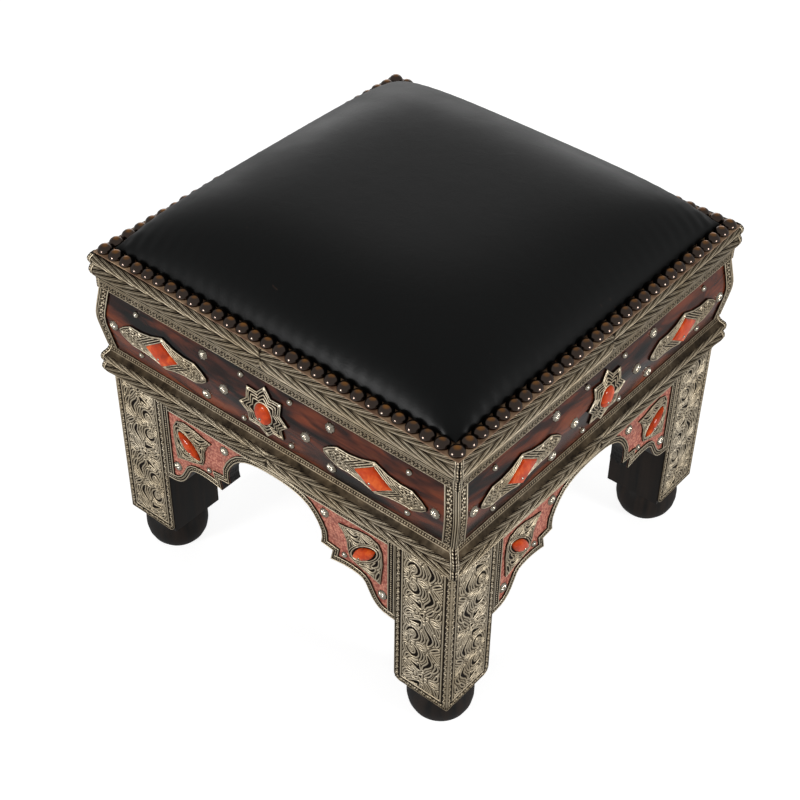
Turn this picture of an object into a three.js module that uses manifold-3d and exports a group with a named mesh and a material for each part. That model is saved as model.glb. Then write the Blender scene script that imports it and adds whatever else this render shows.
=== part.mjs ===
// Moroccan kursi stool: a square footstool on four clad corner legs, with cusped
// lambrequin aprons, a bowed frieze, two herringbone mouldings and a domed leather seat.
//
// Millimetres, +Z up. The origin is on the floor, in the middle of the four feet.
// One side and one corner are modelled, each facing -Y or standing at +X, -Y, and they
// are turned about Z four times. "Half" is a distance outward from the stool's middle.

import * as THREE from 'three';
import { mergeGeometries, mergeVertices } from 'three/addons/utils/BufferGeometryUtils.js';
import Module from 'manifold-3d';

// Joints
const jointGap = 0.3;
const cutOverrun = 10;

// Stack of heights, from the floor up
const footHeight = 42;
const legHeight = 163;
const lowerMouldingHeight = 36;
const friezeHeight = 67.9;
const rimHeight = 30;
const lipDrop = 5;
const crownRise = 54.5;

// Plan
const legFaceHalf = 193;
const legWidth = 58;
const beadProjection = 7.4;
const rimWidth = 18;

// Boards and sheets
const sheetThickness = 0.8;
const apronThickness = 12;
const friezeThickness = 14;
const seatBoardThickness = 15;
const leatherThickness = 1.5;
const hemThickness = 0.8;

// Feet
const footDiameter = 59.5;
const footBaseDiameter = 36;
const footEdgeRound = 12;
const footTopRound = 3;

// Leg cladding: a raised field on each face, with sunk leaves that turn over and back
const claddingCornerRadius = 8;
const fieldRise = 0.7;
const fieldInnerMargin = 12;
const fieldOuterMargin = 8;
const fieldBottomMargin = 11;
const leafPitch = 38.4;
const rightLegLeafHeight = 142.2;
const leftLegLeafHeight = 127;

// Cusped arch and its trim
const apronDrop = 89.5;
const archHeadDepth = 7;
const trimBandWidth = 6.5;
const legStripWidth = 8;
const headStripHeight = 5;

// Frieze
const friezeEdgeStandOff = 0.7;
const friezeBulge = 4.8;
const cornerStripWidth = 12.5;
const lipInset = 2.3;

// Frieze plaques and their gems
const starRadius = 27.5;
const starNotchRadius = 20.5;
const starHeightShare = 0.45;
const starGemLength = 20;
const starGemWidth = 17;
const lozengeHalfLength = 53;
const lozengeHalfHeight = 17.5;
const lozengePlaceShare = 0.607;
const lozengeHeightShare = 0.445;
const lozengeGemHalfLength = 19;
const lozengeGemHalfHeight = 13;
const friezeGemRise = 3;

// Spandrel plaques and their gems
const spandrelPlaqueWidth = 48;
const spandrelPlaqueHeight = 48.5;
const spandrelPlaqueLegMargin = 5;
const spandrelPlaqueHeadMargin = 3.5;
const marquiseLength = 34;
const marquiseWidth = 12;
const marquiseRise = 4;
const marquiseTilt = THREE.MathUtils.degToRad(40);

// Seat nails
const nailDiameter = 13.2;
const nailRise = 6.4;
const nailSpacing = 0.85;
const nailInset = 1.8;
const hemMargin = 0.2;

// Seat crown
const seatSideHeight = 3;
const seatDrawIn = 2;

// Facet counts
const archSkirtSteps = 14;
const archShoulderSteps = 10;
const footSides = 32;
const roundSteps = 4;
const nailSides = 8;
const marquiseSteps = 6;
const ovalSteps = 16;
const crownSteps = 22;
const beadSteps = 8;
const friezeSteps = 10;
const starPoints = 8;

// Outlines, in shares of the sizes that they follow
// Arch, from the leg to the middle: shares of the half span and of the rise
const archSkirtShares = [
  [1, 0], [0.92, 0.012], [0.861, 0.055], [0.809, 0.152], [0.765, 0.29],
  [0.72, 0.339], [0.638, 0.352], [0.557, 0.342], [0.475, 0.315],
];
const archShoulderShares = [
  [0.397, 0.479], [0.407, 0.624], [0.366, 0.77], [0.297, 0.894],
  [0.208, 0.961], [0.111, 0.992], [0, 1],
];
const archNotchShare = [0.494, 0.461];

// Lower moulding, upward: shares of the bead projection and of the moulding's height,
// then how far the run up to the point swells, as a share of the projection. The two
// beads swell and the cove above them is hollow.
const lowerMouldingShares = [
  [0, 0, 0], [0.68, 0.153, 0], [0.77, 0.472, 0.275], [0.87, 0.736, 0.18], [0.135, 1, -0.12],
];

// Rim, upward from the lip's edge, in the same way: a flat strip and two beads
const rimShares = [
  [0.486, 0, 0], [0.486, 0.294, 0], [0.76, 0.683, 0.35], [0.62, 1, 0.29],
];

// Bowed frieze, upward: shares of the bulge and of the board's height
const friezeShares = [
  [0, 0], [0.58, 0.25], [0.93, 0.41], [1, 0.5], [0.93, 0.59], [0.58, 0.75], [0, 1],
];

// Quarter of the lozenge plaque, from its tip to its top corner
const lozengeQuarterShares = [
  [1, 0.1], [0.9, 0.36], [0.73, 0.64], [0.49, 0.63], [0.26, 0.74], [0, 1],
];

// Leaf plaque of the spandrel, anticlockwise from its middle corner, as shares of its
// width from the middle of the side outward and of its height upward
const leafShares = [
  [0, 0.87], [0.12, 0.74], [0.2, 0.56], [0.21, 0.4], [0.26, 0.22], [0.5, 0.13],
  [0.74, 0.07], [0.95, 0], [0.97, 0.22], [1, 0.5], [0.98, 0.78], [0.9, 0.93],
  [0.7, 1], [0.44, 0.97], [0.2, 0.9],
];
const leafGemPlaceShare = [0.585, 0.505];

// Sunk leaf of the legs: shares of the field's width outward and of the pitch downward
const sunkLeafShares = [
  [0.54, 0.255], [0.55, 0.406], [0.663, 0.635], [0.658, 0.85], [0.787, 0.638], [0.73, 0.448],
];

// Gems, upward: shares of the outline's size and of the rise
const tableGemShares = [[1, 0], [0.86, 0.7], [0.5, 1]];
const cabochonShares = [[1, 0], [0.86, 0.55], [0.5, 0.93], [0.2, 1]];

// Nail heads: shares of the radius and of the rise
const nailHeadShares = [[1, 0], [0.8, 0.62], [0, 1]];

// The seat's crown flattens towards its middle and falls steeply at its edge
const crownSquareness = 3;
const crownFullness = 0.5;

// Derived heights
const mouldingBottom = footHeight + legHeight;
const mouldingTop = mouldingBottom + lowerMouldingHeight;
const apronSpringHeight = mouldingBottom - apronDrop;
const archRise = apronDrop - archHeadDepth;
const friezeBottom = mouldingTop + jointGap;
const friezeTop = friezeBottom + friezeHeight;
const rimBottom = friezeTop + jointGap;
const rimTop = rimBottom + rimHeight;
const lipBottom = rimBottom - lipDrop;
const sheetTop = mouldingBottom - jointGap;
const seatBoardTop = rimBottom + seatBoardThickness;
const seatBase = rimTop + jointGap;
const seatTop = seatBase + crownRise;

// Derived distances from the middle
const boardFaceHalf = legFaceHalf - sheetThickness - jointGap;
const sheetBackHalf = boardFaceHalf + jointGap;
const legInnerHalf = legFaceHalf - legWidth;
const apronHalfSpan = legInnerHalf - jointGap;
const friezeEdgeHalf = legFaceHalf + friezeEdgeStandOff;
const friezeRidgeHalf = friezeEdgeHalf + friezeBulge;
const friezeInnerHalf = friezeEdgeHalf - friezeThickness;
const rimInnerHalf = legFaceHalf - rimWidth;
const lipInnerHalf = legFaceHalf + lipInset;
const nailRowHalf = legFaceHalf - nailInset;
const hemReach = nailDiameter / 2 + hemMargin;
const hemInnerHalf = nailRowHalf - hemReach;
const coverHalf = hemInnerHalf - jointGap;
const mitreSetback = jointGap / Math.SQRT2;

// Looks
const looks = {
  blackWood: { color: 0x17120f, roughness: 0.45, metalness: 0 },
  blackFoot: { color: 0x100e0d, roughness: 0.4, metalness: 0 },
  pinkPanel: { color: 0xa85a50, roughness: 0.6, metalness: 0 },
  veneer: { color: 0x6b3420, roughness: 0.3, metalness: 0 },
  nickelSilver: { color: 0x9b917d, roughness: 0.4, metalness: 0.9 },
  bronzeNail: { color: 0x54402f, roughness: 0.3, metalness: 0.9 },
  leather: { color: 0x0f0f10, roughness: 0.35, metalness: 0 },
  foam: { color: 0xd9cfb0, roughness: 0.95, metalness: 0 },
  plainWood: { color: 0x9a7448, roughness: 0.7, metalness: 0 },
};

const wasm = await Module();
wasm.setup();

// Turns a closed geometry into a solid that can be joined and cut.
function solidOf(geometry) {
  const bare = geometry.clone();
  bare.deleteAttribute('normal');
  bare.deleteAttribute('uv');
  const merged = mergeVertices(bare);
  return new wasm.Manifold(new wasm.Mesh({
    numProp: 3,
    vertProperties: new Float32Array(merged.getAttribute('position').array),
    triVerts: new Uint32Array(merged.getIndex().array),
  }));
}

// Turns a joined or cut solid back into a geometry.
function geometryOf(solid) {
  const mesh = solid.getMesh();
  const geometry = new THREE.BufferGeometry();
  geometry.setAttribute('position', new THREE.BufferAttribute(mesh.vertProperties, mesh.numProp));
  geometry.setIndex(new THREE.BufferAttribute(mesh.triVerts, 1));
  geometry.computeVertexNormals();
  return geometry;
}

function shapeOf(points) {
  return new THREE.Shape(points.map(([x, y]) => new THREE.Vector2(x, y)));
}

function mirrored(points) {
  return points.map(([x, y]) => [-x, y]).reverse();
}

function rectangle(left, bottom, right, top) {
  return [[left, bottom], [right, bottom], [right, top], [left, top]];
}

// An upright plate of the front side: its outline is drawn along the side and upward.
function plate(outline, innerHalf, outerHalf) {
  const geometry = new THREE.ExtrudeGeometry(shapeOf(outline), {
    depth: outerHalf - innerHalf,
    bevelEnabled: false,
  });
  geometry.translate(0, 0, innerHalf);
  geometry.rotateX(Math.PI / 2);
  return geometry;
}

// A front rail whose section is drawn outward and upward, mitred at both ends.
function mitredRail(section) {
  const geometry = new THREE.ExtrudeGeometry(shapeOf(section), { depth: 1, bevelEnabled: false });
  const place = geometry.getAttribute('position');
  for (let i = 0; i < place.count; i += 1) {
    const half = place.getX(i);
    const end = 1 - 2 * place.getZ(i);
    place.setXYZ(i, end * (half - mitreSetback), -half, place.getY(i));
  }
  geometry.computeVertexNormals();
  return geometry;
}

// A front bar of constant section, cut square at both ends.
function squareBar(section, halfLength) {
  const geometry = new THREE.ExtrudeGeometry(shapeOf(section), {
    depth: 2 * halfLength,
    bevelEnabled: false,
  });
  geometry.translate(0, 0, -halfLength);
  geometry.applyMatrix4(new THREE.Matrix4().set(
    0, 0, -1, 0,
    -1, 0, 0, 0,
    0, 1, 0, 0,
    0, 0, 0, 1,
  ));
  return geometry;
}

// Skins the space between closed loops that have the same number of points.
function loft(loops) {
  const count = loops[0].length;
  const flat = loops[0].map((point) => new THREE.Vector2(point.x, point.y));
  const cap = THREE.ShapeUtils.triangulateShape(flat, []);
  const last = (loops.length - 1) * count;
  const index = [];
  for (const [a, b, c] of cap) {
    index.push(c, b, a);
    index.push(last + a, last + b, last + c);
  }
  for (let level = 0; level < loops.length - 1; level += 1) {
    for (let i = 0; i < count; i += 1) {
      const low = level * count + i;
      const lowNext = level * count + (i + 1) % count;
      index.push(low, lowNext, lowNext + count);
      index.push(low, lowNext + count, low + count);
    }
  }
  const geometry = new THREE.BufferGeometry().setFromPoints(loops.flat());
  geometry.setIndex(index);
  geometry.computeVertexNormals();
  return geometry;
}

// The arch of one half of the front side, from the leg to the middle.
function archEdge() {
  const placed = ([along, up]) => new THREE.Vector2(
    along * apronHalfSpan,
    apronSpringHeight + up * archRise,
  );
  const skirt = new THREE.SplineCurve(archSkirtShares.map(placed)).getPoints(archSkirtSteps);
  const notch = placed(archNotchShare);
  const shoulder = new THREE.SplineCurve(archShoulderShares.map(placed));
  return [...skirt, notch, ...shoulder.getPoints(archShoulderSteps)].map((p) => [p.x, p.y]);
}

// The area between the arch and a level edge, over the whole span.
function archedOutline(top) {
  const edge = archEdge();
  const otherHalf = edge.slice(0, -1).map(([x, z]) => [-x, z]);
  return [...otherHalf, ...edge.slice().reverse(), [apronHalfSpan, top], [-apronHalfSpan, top]];
}

// Moves the arch's edge into the apron by a width, with mitred corners.
function insetEdge(points, width) {
  const normal = (from, to) => new THREE.Vector2(to[1] - from[1], from[0] - to[0]).normalize();
  return points.map((point, i) => {
    const before = normal(points[Math.max(i - 1, 0)], points[Math.max(i, 1)]);
    const after = i < points.length - 1 ? normal(point, points[i + 1]) : before;
    const reach = width / (1 + before.dot(after));
    return [point[0] + (before.x + after.x) * reach, point[1] + (before.y + after.y) * reach];
  });
}

function apronBoard() {
  return plate(archedOutline(mouldingTop), boardFaceHalf - apronThickness, boardFaceHalf);
}

// Embossed sheet round the arch, beside the legs and under the moulding. The coloured
// board shows through its two windows.
function apronTrim() {
  const inner = insetEdge(archEdge(), trimBandWidth);
  const above = sheetTop + cutOverrun;
  const field = [...inner, [0, above], [inner[0][0], above]];
  const frame = rectangle(
    0,
    apronSpringHeight,
    apronHalfSpan - legStripWidth,
    mouldingBottom - headStripHeight,
  );
  const depths = [sheetBackHalf - cutOverrun, legFaceHalf + cutOverrun];
  let sheet = solidOf(plate(archedOutline(sheetTop), sheetBackHalf, legFaceHalf));
  for (const turn of [(points) => points, mirrored]) {
    const window = solidOf(plate(turn(field), ...depths));
    sheet = sheet.subtract(window.intersect(solidOf(plate(turn(frame), ...depths))));
  }
  return geometryOf(sheet);
}

// Face of a moulding, upward, with its swelling and hollow runs drawn as shallow curves.
function mouldedFace(shares, bottom, height) {
  const placed = shares.map(([out, up]) => new THREE.Vector2(
    legFaceHalf + out * beadProjection,
    bottom + up * height,
  ));
  const face = [placed[0]];
  for (let i = 1; i < placed.length; i += 1) {
    const [from, to] = [placed[i - 1], placed[i]];
    const swell = shares[i][2] * beadProjection;
    const outward = new THREE.Vector2(to.y - from.y, from.x - to.x).normalize();
    const steps = swell === 0 ? 1 : beadSteps;
    for (let step = 1; step <= steps; step += 1) {
      const t = step / steps;
      const lift = swell * Math.sin(Math.PI * t);
      face.push(from.clone().lerp(to, t).addScaledVector(outward, lift));
    }
  }
  return face.map((point) => [point.x, point.y]);
}

function lowerMoulding() {
  const face = mouldedFace(lowerMouldingShares, mouldingBottom, lowerMouldingHeight);
  return mitredRail([[sheetBackHalf, mouldingBottom], ...face, [sheetBackHalf, mouldingTop]]);
}

function friezeFace(standOff) {
  const bow = new THREE.SplineCurve(friezeShares.map(([out, up]) => new THREE.Vector2(
    friezeEdgeHalf + out * friezeBulge + standOff,
    friezeBottom + up * friezeHeight,
  )));
  return bow.getPoints(friezeSteps).map((point) => [point.x, point.y]);
}

function friezeBoard() {
  return mitredRail([
    [friezeInnerHalf, friezeBottom],
    ...friezeFace(0),
    [friezeInnerHalf, friezeTop],
  ]);
}

function rimRail() {
  return mitredRail([
    [rimInnerHalf, rimBottom],
    [lipInnerHalf, rimBottom],
    [lipInnerHalf, lipBottom],
    ...mouldedFace(rimShares, lipBottom, rimTop - lipBottom),
    [rimInnerHalf, rimTop],
  ]);
}

// Square loops through a list of distances outward and heights.
function squareTower(face) {
  return loft(face.map(([half, z]) => [
    new THREE.Vector3(-half, -half, z),
    new THREE.Vector3(half, -half, z),
    new THREE.Vector3(half, half, z),
    new THREE.Vector3(-half, half, z),
  ]));
}

// Sheet bent round the frieze's corner, under the rim's lip.
function friezeCornerStrip() {
  const sheetFace = friezeFace(jointGap + sheetThickness);
  const sheet = solidOf(squareTower(sheetFace)).subtract(solidOf(squareTower(friezeFace(jointGap))));
  const near = friezeRidgeHalf - cornerStripWidth;
  const far = friezeRidgeHalf + cutOverrun;
  const reach = plate(rectangle(near, friezeBottom, far, lipBottom - jointGap), near, far);
  return geometryOf(sheet.intersect(solidOf(reach)));
}

// Corner post: full width up to the frieze, then drawn in behind the frieze boards.
function cornerPost() {
  const column = (outerHalf, bottom, top) => {
    const outline = rectangle(legInnerHalf, bottom, outerHalf, top);
    return solidOf(plate(outline, legInnerHalf, outerHalf));
  };
  const lower = column(boardFaceHalf, footHeight + jointGap, mouldingTop);
  const upper = column(friezeInnerHalf - jointGap, footHeight + jointGap, rimBottom - jointGap);
  return geometryOf(lower.add(upper));
}

// Leaves sunk in a leg's field, turned over at every other level line from the given one.
function sunkLeaves(levelLine, left, right, bottom, top) {
  const reach = Math.ceil((top - bottom) / leafPitch);
  const leaves = [];
  for (let cell = -reach; cell <= reach; cell += 1) {
    const upright = cell % 2 === 0;
    const start = levelLine - (upright ? cell : cell + 1) * leafPitch;
    const leaf = sunkLeafShares.map(([outward, down]) => [
      left + outward * (right - left),
      start + (upright ? -down : down) * leafPitch,
    ]);
    const heights = leaf.map(([, z]) => z);
    if (Math.min(...heights) > bottom && Math.max(...heights) < top) {
      leaves.push(upright ? leaf : leaf.reverse());
    }
  }
  return leaves;
}

// Raised field of a leg's face. "Facing" leaves an outline as it is or mirrors it.
function raisedField(levelLine, facing) {
  const left = legInnerHalf + fieldInnerMargin;
  const right = legFaceHalf - fieldOuterMargin;
  const bottom = footHeight + jointGap + fieldBottomMargin;
  const root = (sheetBackHalf + legFaceHalf) / 2;
  const field = rectangle(left, bottom, right, sheetTop);
  const leaves = sunkLeaves(levelLine, left, right, bottom, sheetTop);
  return leaves.reduce(
    (solid, leaf) => solid.subtract(
      solidOf(plate(facing(leaf), boardFaceHalf, legFaceHalf + cutOverrun)),
    ),
    solidOf(plate(facing(field), root, legFaceHalf + fieldRise)),
  );
}

// Embossed sheet on the two outer faces of a leg, in one piece round the corner.
function legCladding() {
  const bottom = footHeight + jointGap;
  const round = new THREE.Shape();
  round.moveTo(legFaceHalf, bottom);
  round.lineTo(legFaceHalf, sheetTop);
  round.lineTo(legInnerHalf, sheetTop);
  round.absarc(
    legInnerHalf + claddingCornerRadius,
    bottom + claddingCornerRadius,
    claddingCornerRadius,
    Math.PI,
    Math.PI * 3 / 2,
    false,
  );
  const outline = round.getPoints(roundSteps).map((p) => [p.x, p.y]);
  const front = solidOf(plate(outline, sheetBackHalf, legFaceHalf))
    .add(raisedField(rightLegLeafHeight, (points) => points));
  const side = solidOf(plate(mirrored(outline), sheetBackHalf, legFaceHalf))
    .add(raisedField(leftLegLeafHeight, mirrored));
  return geometryOf(front.add(side.rotate([0, 0, 90])));
}

// Turned foot: nearly flat below, with a well rounded lower edge.
function bunFoot() {
  const radius = footDiameter / 2;
  const profile = new THREE.Path();
  profile.moveTo(0, 0);
  profile.lineTo(footBaseDiameter / 2, 0);
  profile.quadraticCurveTo(radius, 0, radius, footEdgeRound);
  profile.lineTo(radius, footHeight - footTopRound);
  profile.quadraticCurveTo(radius, footHeight, radius - footTopRound, footHeight);
  profile.lineTo(0, footHeight);
  const foot = new THREE.LatheGeometry(profile.getPoints(roundSteps), footSides);
  foot.rotateX(Math.PI / 2);
  const axis = legFaceHalf - legWidth / 2;
  foot.translate(axis, -axis, 0);
  return foot;
}

// A gem, drawn flat and then stood up on the front side. It runs on behind its foot.
function gem(outline, rings, rise, footHalf) {
  const levels = [[1, -cutOverrun], ...rings.map(([size, up]) => [size, up * rise])];
  const geometry = loft(levels.map(([size, level]) => outline.map(
    ([x, y]) => new THREE.Vector3(x * size, y * size, level),
  )));
  geometry.rotateX(Math.PI / 2);
  geometry.translate(0, -footHalf, 0);
  return geometry;
}

// A plaque on the bowed frieze, bent to its face, with a gem set on it.
function friezePlaque(outline, gemGeometry, place, height) {
  const moved = outline.map(([x, z]) => [x + place, z + height]);
  const span = lozengeHalfLength + starRadius + cutOverrun;
  const bar = (standOff) => {
    const section = [
      [friezeInnerHalf, friezeBottom],
      ...friezeFace(standOff),
      [friezeInnerHalf, friezeTop],
    ];
    const geometry = squareBar(section, span);
    geometry.translate(place, 0, 0);
    return solidOf(geometry);
  };
  gemGeometry.translate(place, 0, height);
  const blank = plate(moved, friezeEdgeHalf, friezeRidgeHalf + cutOverrun);
  const sheet = solidOf(blank).intersect(bar(jointGap + sheetThickness));
  return geometryOf(sheet.add(solidOf(gemGeometry)).subtract(bar(jointGap)));
}

function starOutline() {
  const points = [];
  for (let i = 0; i < 2 * starPoints; i += 1) {
    const radius = i % 2 === 0 ? starRadius : starNotchRadius;
    const angle = Math.PI * i / starPoints;
    points.push([radius * Math.cos(angle), radius * Math.sin(angle)]);
  }
  return points;
}

function starPlaque() {
  const oval = [];
  for (let i = 0; i < ovalSteps; i += 1) {
    const angle = 2 * Math.PI * i / ovalSteps;
    oval.push([starGemWidth / 2 * Math.cos(angle), starGemLength / 2 * Math.sin(angle)]);
  }
  const foot = friezeRidgeHalf + jointGap + sheetThickness;
  const stone = gem(oval, cabochonShares, friezeGemRise, foot);
  const height = friezeBottom + starHeightShare * friezeHeight;
  return friezePlaque(starOutline(), stone, 0, height);
}

function lozengeOutline() {
  const quarter = lozengeQuarterShares.map(([along, up]) => [
    along * lozengeHalfLength,
    up * lozengeHalfHeight,
  ]);
  const upper = [...quarter, ...mirrored(quarter).slice(1)];
  const lower = upper.slice().reverse().map(([x, z]) => [x, -z]);
  return [...upper, ...lower];
}

function lozengePlaque(side) {
  const diamond = [
    [lozengeGemHalfLength, 0],
    [0, lozengeGemHalfHeight],
    [-lozengeGemHalfLength, 0],
    [0, -lozengeGemHalfHeight],
  ];
  const foot = friezeRidgeHalf + jointGap + sheetThickness;
  const stone = gem(diamond, tableGemShares, friezeGemRise, foot);
  const height = friezeBottom + lozengeHeightShare * friezeHeight;
  return friezePlaque(lozengeOutline(), stone, side * lozengePlaceShare * friezeEdgeHalf, height);
}

// Leaf plaque in a window of the trim, with a marquise gem set aslant.
function spandrelPlaque(side) {
  const outer = apronHalfSpan - legStripWidth - spandrelPlaqueLegMargin;
  const top = mouldingBottom - headStripHeight - spandrelPlaqueHeadMargin;
  const placed = ([along, up]) => [
    outer + (along - 1) * spandrelPlaqueWidth,
    top + (up - 1) * spandrelPlaqueHeight,
  ];
  const outline = leafShares.map(placed);
  const [gemX, gemZ] = placed(leafGemPlaceShare);
  const stone = gem(marquiseOutline(), cabochonShares, marquiseRise, legFaceHalf);
  stone.rotateY(-side * marquiseTilt);
  stone.translate(side * gemX, 0, gemZ);
  const sheet = plate(side < 0 ? mirrored(outline) : outline, sheetBackHalf, legFaceHalf);
  const back = plate(
    rectangle(-legFaceHalf, apronSpringHeight, legFaceHalf, mouldingTop),
    sheetBackHalf - 2 * cutOverrun,
    sheetBackHalf,
  );
  return geometryOf(solidOf(sheet).add(solidOf(stone)).subtract(solidOf(back)));
}

// Pointed oval made of two equal arcs.
function marquiseOutline() {
  const halfLength = marquiseLength / 2;
  const halfWidth = marquiseWidth / 2;
  const radius = (halfLength * halfLength + halfWidth * halfWidth) / marquiseWidth;
  const sweep = Math.asin(halfLength / radius);
  const upper = [];
  for (let i = 0; i < marquiseSteps; i += 1) {
    const angle = sweep * (1 - 2 * i / marquiseSteps);
    upper.push([radius * Math.sin(angle), radius * Math.cos(angle) + halfWidth - radius]);
  }
  return [...upper, ...upper.map(([x, z]) => [-x, -z])];
}

// Hem of the leather cover, laid on the rim, with the row of domed nails through it.
function nailedHem() {
  const radius = nailDiameter / 2;
  const hemTop = seatBase + hemThickness;
  const ring = (half, bottom, top) => solidOf(squareTower([[half, bottom], [half, top]]));
  const hole = ring(hemInnerHalf, seatBase - cutOverrun, hemTop + cutOverrun);
  const hem = ring(nailRowHalf + hemReach, seatBase, hemTop).subtract(hole);
  const profile = [
    new THREE.Vector2(0, -hemThickness / 2),
    new THREE.Vector2(radius, -hemThickness / 2),
    ...nailHeadShares.map(([out, up]) => new THREE.Vector2(out * radius, up * nailRise)),
  ];
  const head = new THREE.LatheGeometry(profile, nailSides);
  head.rotateX(Math.PI / 2);
  const nailsPerSide = Math.floor(2 * nailRowHalf / (nailDiameter + nailSpacing));
  const pitch = 2 * nailRowHalf / nailsPerSide;
  const heads = [];
  for (let turn = 0; turn < 4; turn += 1) {
    for (let i = 0; i < nailsPerSide; i += 1) {
      const copy = head.clone();
      copy.translate(i * pitch - nailRowHalf, -nailRowHalf, hemTop);
      copy.rotateZ(turn * Math.PI / 2);
      heads.push(copy);
    }
  }
  return geometryOf(hem.add(solidOf(mergeGeometries(heads))));
}

// Height share of the crown over a point, each way from -1 at one edge to 1 at the other.
function crownShare(u, v) {
  const fall = (share) => 1 - Math.abs(share) ** crownSquareness;
  return (fall(u) * fall(v)) ** crownFullness;
}

// Grid of points over a crowned square. Its lines draw together towards the edges.
function crownGrid(half, top) {
  const base = seatBase + seatSideHeight;
  const stops = [];
  for (let i = 0; i <= crownSteps; i += 1) {
    stops.push(Math.sin(Math.PI * (i / crownSteps - 1 / 2)));
  }
  const points = [];
  for (const v of stops) {
    for (const u of stops) {
      const z = base + (top - base) * crownShare(u, v);
      points.push(new THREE.Vector3(u * half, v * half, z));
    }
  }
  return points;
}

// Faces of the grid. Their diagonals run to the corners, which are then all alike.
function gridFaces(offset, upward) {
  const row = crownSteps + 1;
  const faces = [];
  for (let j = 0; j < crownSteps; j += 1) {
    for (let i = 0; i < crownSteps; i += 1) {
      const a = offset + j * row + i;
      const [b, c, d] = [a + 1, a + 1 + row, a + row];
      const rising = (2 * i < crownSteps) === (2 * j < crownSteps);
      const pair = rising ? [a, b, c, a, c, d] : [a, b, d, b, c, d];
      faces.push(...(upward ? pair : pair.reverse()));
    }
  }
  return faces;
}

// Numbers of the grid's border points, anticlockwise from above.
function gridBorder() {
  const row = crownSteps + 1;
  const border = [];
  for (let i = 0; i < crownSteps; i += 1) {
    border.push(i);
  }
  for (let i = 0; i < crownSteps; i += 1) {
    border.push(i * row + crownSteps);
  }
  for (let i = crownSteps; i > 0; i -= 1) {
    border.push(crownSteps * row + i);
  }
  for (let i = crownSteps; i > 0; i -= 1) {
    border.push(i * row);
  }
  return border;
}

// Band of faces from an upper loop of point numbers down to a lower one.
function bandFaces(upper, lower) {
  const faces = [];
  for (let i = 0; i < upper.length; i += 1) {
    const next = (i + 1) % upper.length;
    faces.push(upper[i], lower[i], lower[next]);
    faces.push(upper[i], lower[next], upper[next]);
  }
  return faces;
}

// Level loop under the grid's border.
function borderLoop(half, z) {
  const grid = crownGrid(half, seatTop);
  return gridBorder().map((number) => grid[number].setZ(z));
}

// A solid that starts with a crowned grid and goes down through level loops. It ends
// with a second grid inside the first, or with a flat floor.
function crownedSolid(grid, loops, inside) {
  const points = [...grid, ...loops.flat()];
  const border = gridBorder();
  const faces = gridFaces(0, true);
  let above = border;
  loops.forEach((loop, level) => {
    const below = loop.map((point, i) => grid.length + level * loop.length + i);
    faces.push(...bandFaces(above, below));
    above = below;
  });
  const first = points.length;
  if (inside) {
    points.push(...inside);
    faces.push(...bandFaces(above, border.map((number) => number + first)));
    faces.push(...gridFaces(first, false));
  } else {
    points.push(new THREE.Vector3(0, 0, loops.at(-1)[0].z));
    faces.push(...above.flatMap((number, i) => [first, above[(i + 1) % above.length], number]));
  }
  const geometry = new THREE.BufferGeometry().setFromPoints(points);
  geometry.setIndex(faces);
  geometry.computeVertexNormals();
  return geometry;
}

// Leather drawn tight over the padding: a thin crowned shell, open below.
function leatherCover() {
  const foot = coverHalf - seatDrawIn;
  return crownedSolid(
    crownGrid(coverHalf, seatTop),
    [borderLoop(foot, seatBase), borderLoop(foot - leatherThickness, seatBase)],
    crownGrid(coverHalf - leatherThickness, seatTop - leatherThickness),
  );
}

// Padding: a crown under the leather and a plug between the rim rails.
function seatPadding() {
  const inset = leatherThickness + jointGap;
  const plugHalf = rimInnerHalf - jointGap;
  return crownedSolid(crownGrid(coverHalf - inset, seatTop - inset), [
    borderLoop(coverHalf - seatDrawIn - inset, seatBase),
    borderLoop(plugHalf, seatBase),
    borderLoop(plugHalf, seatBoardTop + jointGap),
  ]);
}

function seatBoard() {
  const half = rimInnerHalf - jointGap;
  return squareTower([[half, rimBottom], [half, seatBoardTop]]);
}

function named(name, geometry, look) {
  const mesh = new THREE.Mesh(geometry, new THREE.MeshStandardMaterial(looks[look]));
  mesh.name = name;
  return mesh;
}

function stool() {
  const whole = new THREE.Group();
  const sides = ['front', 'right', 'back', 'left'];
  sides.forEach((side, turn) => {
    const corner = `${side}_${sides[(turn + 1) % sides.length]}`;
    const quarter = new THREE.Group();
    quarter.rotation.z = turn * Math.PI / 2;
    quarter.add(
      named(`${side}_apron_board`, apronBoard(), 'pinkPanel'),
      named(`${side}_apron_trim`, apronTrim(), 'nickelSilver'),
      named(`${side}_lower_moulding`, lowerMoulding(), 'nickelSilver'),
      named(`${side}_frieze_board`, friezeBoard(), 'veneer'),
      named(`${side}_rim_rail`, rimRail(), 'nickelSilver'),
      named(`${side}_star_plaque`, starPlaque(), 'nickelSilver'),
      named(`${side}_lozenge_plaque_1`, lozengePlaque(-1), 'nickelSilver'),
      named(`${side}_lozenge_plaque_2`, lozengePlaque(1), 'nickelSilver'),
      named(`${side}_leaf_plaque_1`, spandrelPlaque(-1), 'nickelSilver'),
      named(`${side}_leaf_plaque_2`, spandrelPlaque(1), 'nickelSilver'),
      named(`${corner}_post`, cornerPost(), 'blackWood'),
      named(`${corner}_leg_cladding`, legCladding(), 'nickelSilver'),
      named(`${corner}_frieze_strip`, friezeCornerStrip(), 'nickelSilver'),
      named(`${corner}_foot`, bunFoot(), 'blackFoot'),
    );
    whole.add(quarter);
  });
  whole.add(
    named('seat_board', seatBoard(), 'plainWood'),
    named('seat_padding', seatPadding(), 'foam'),
    named('leather_cover', leatherCover(), 'leather'),
    named('nailed_hem', nailedHem(), 'bronzeNail'),
  );
  return whole;
}

export default stool();
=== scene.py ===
import functools
import math

import bmesh
import bpy
import numpy as np
from mathutils import Matrix, Vector


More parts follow.
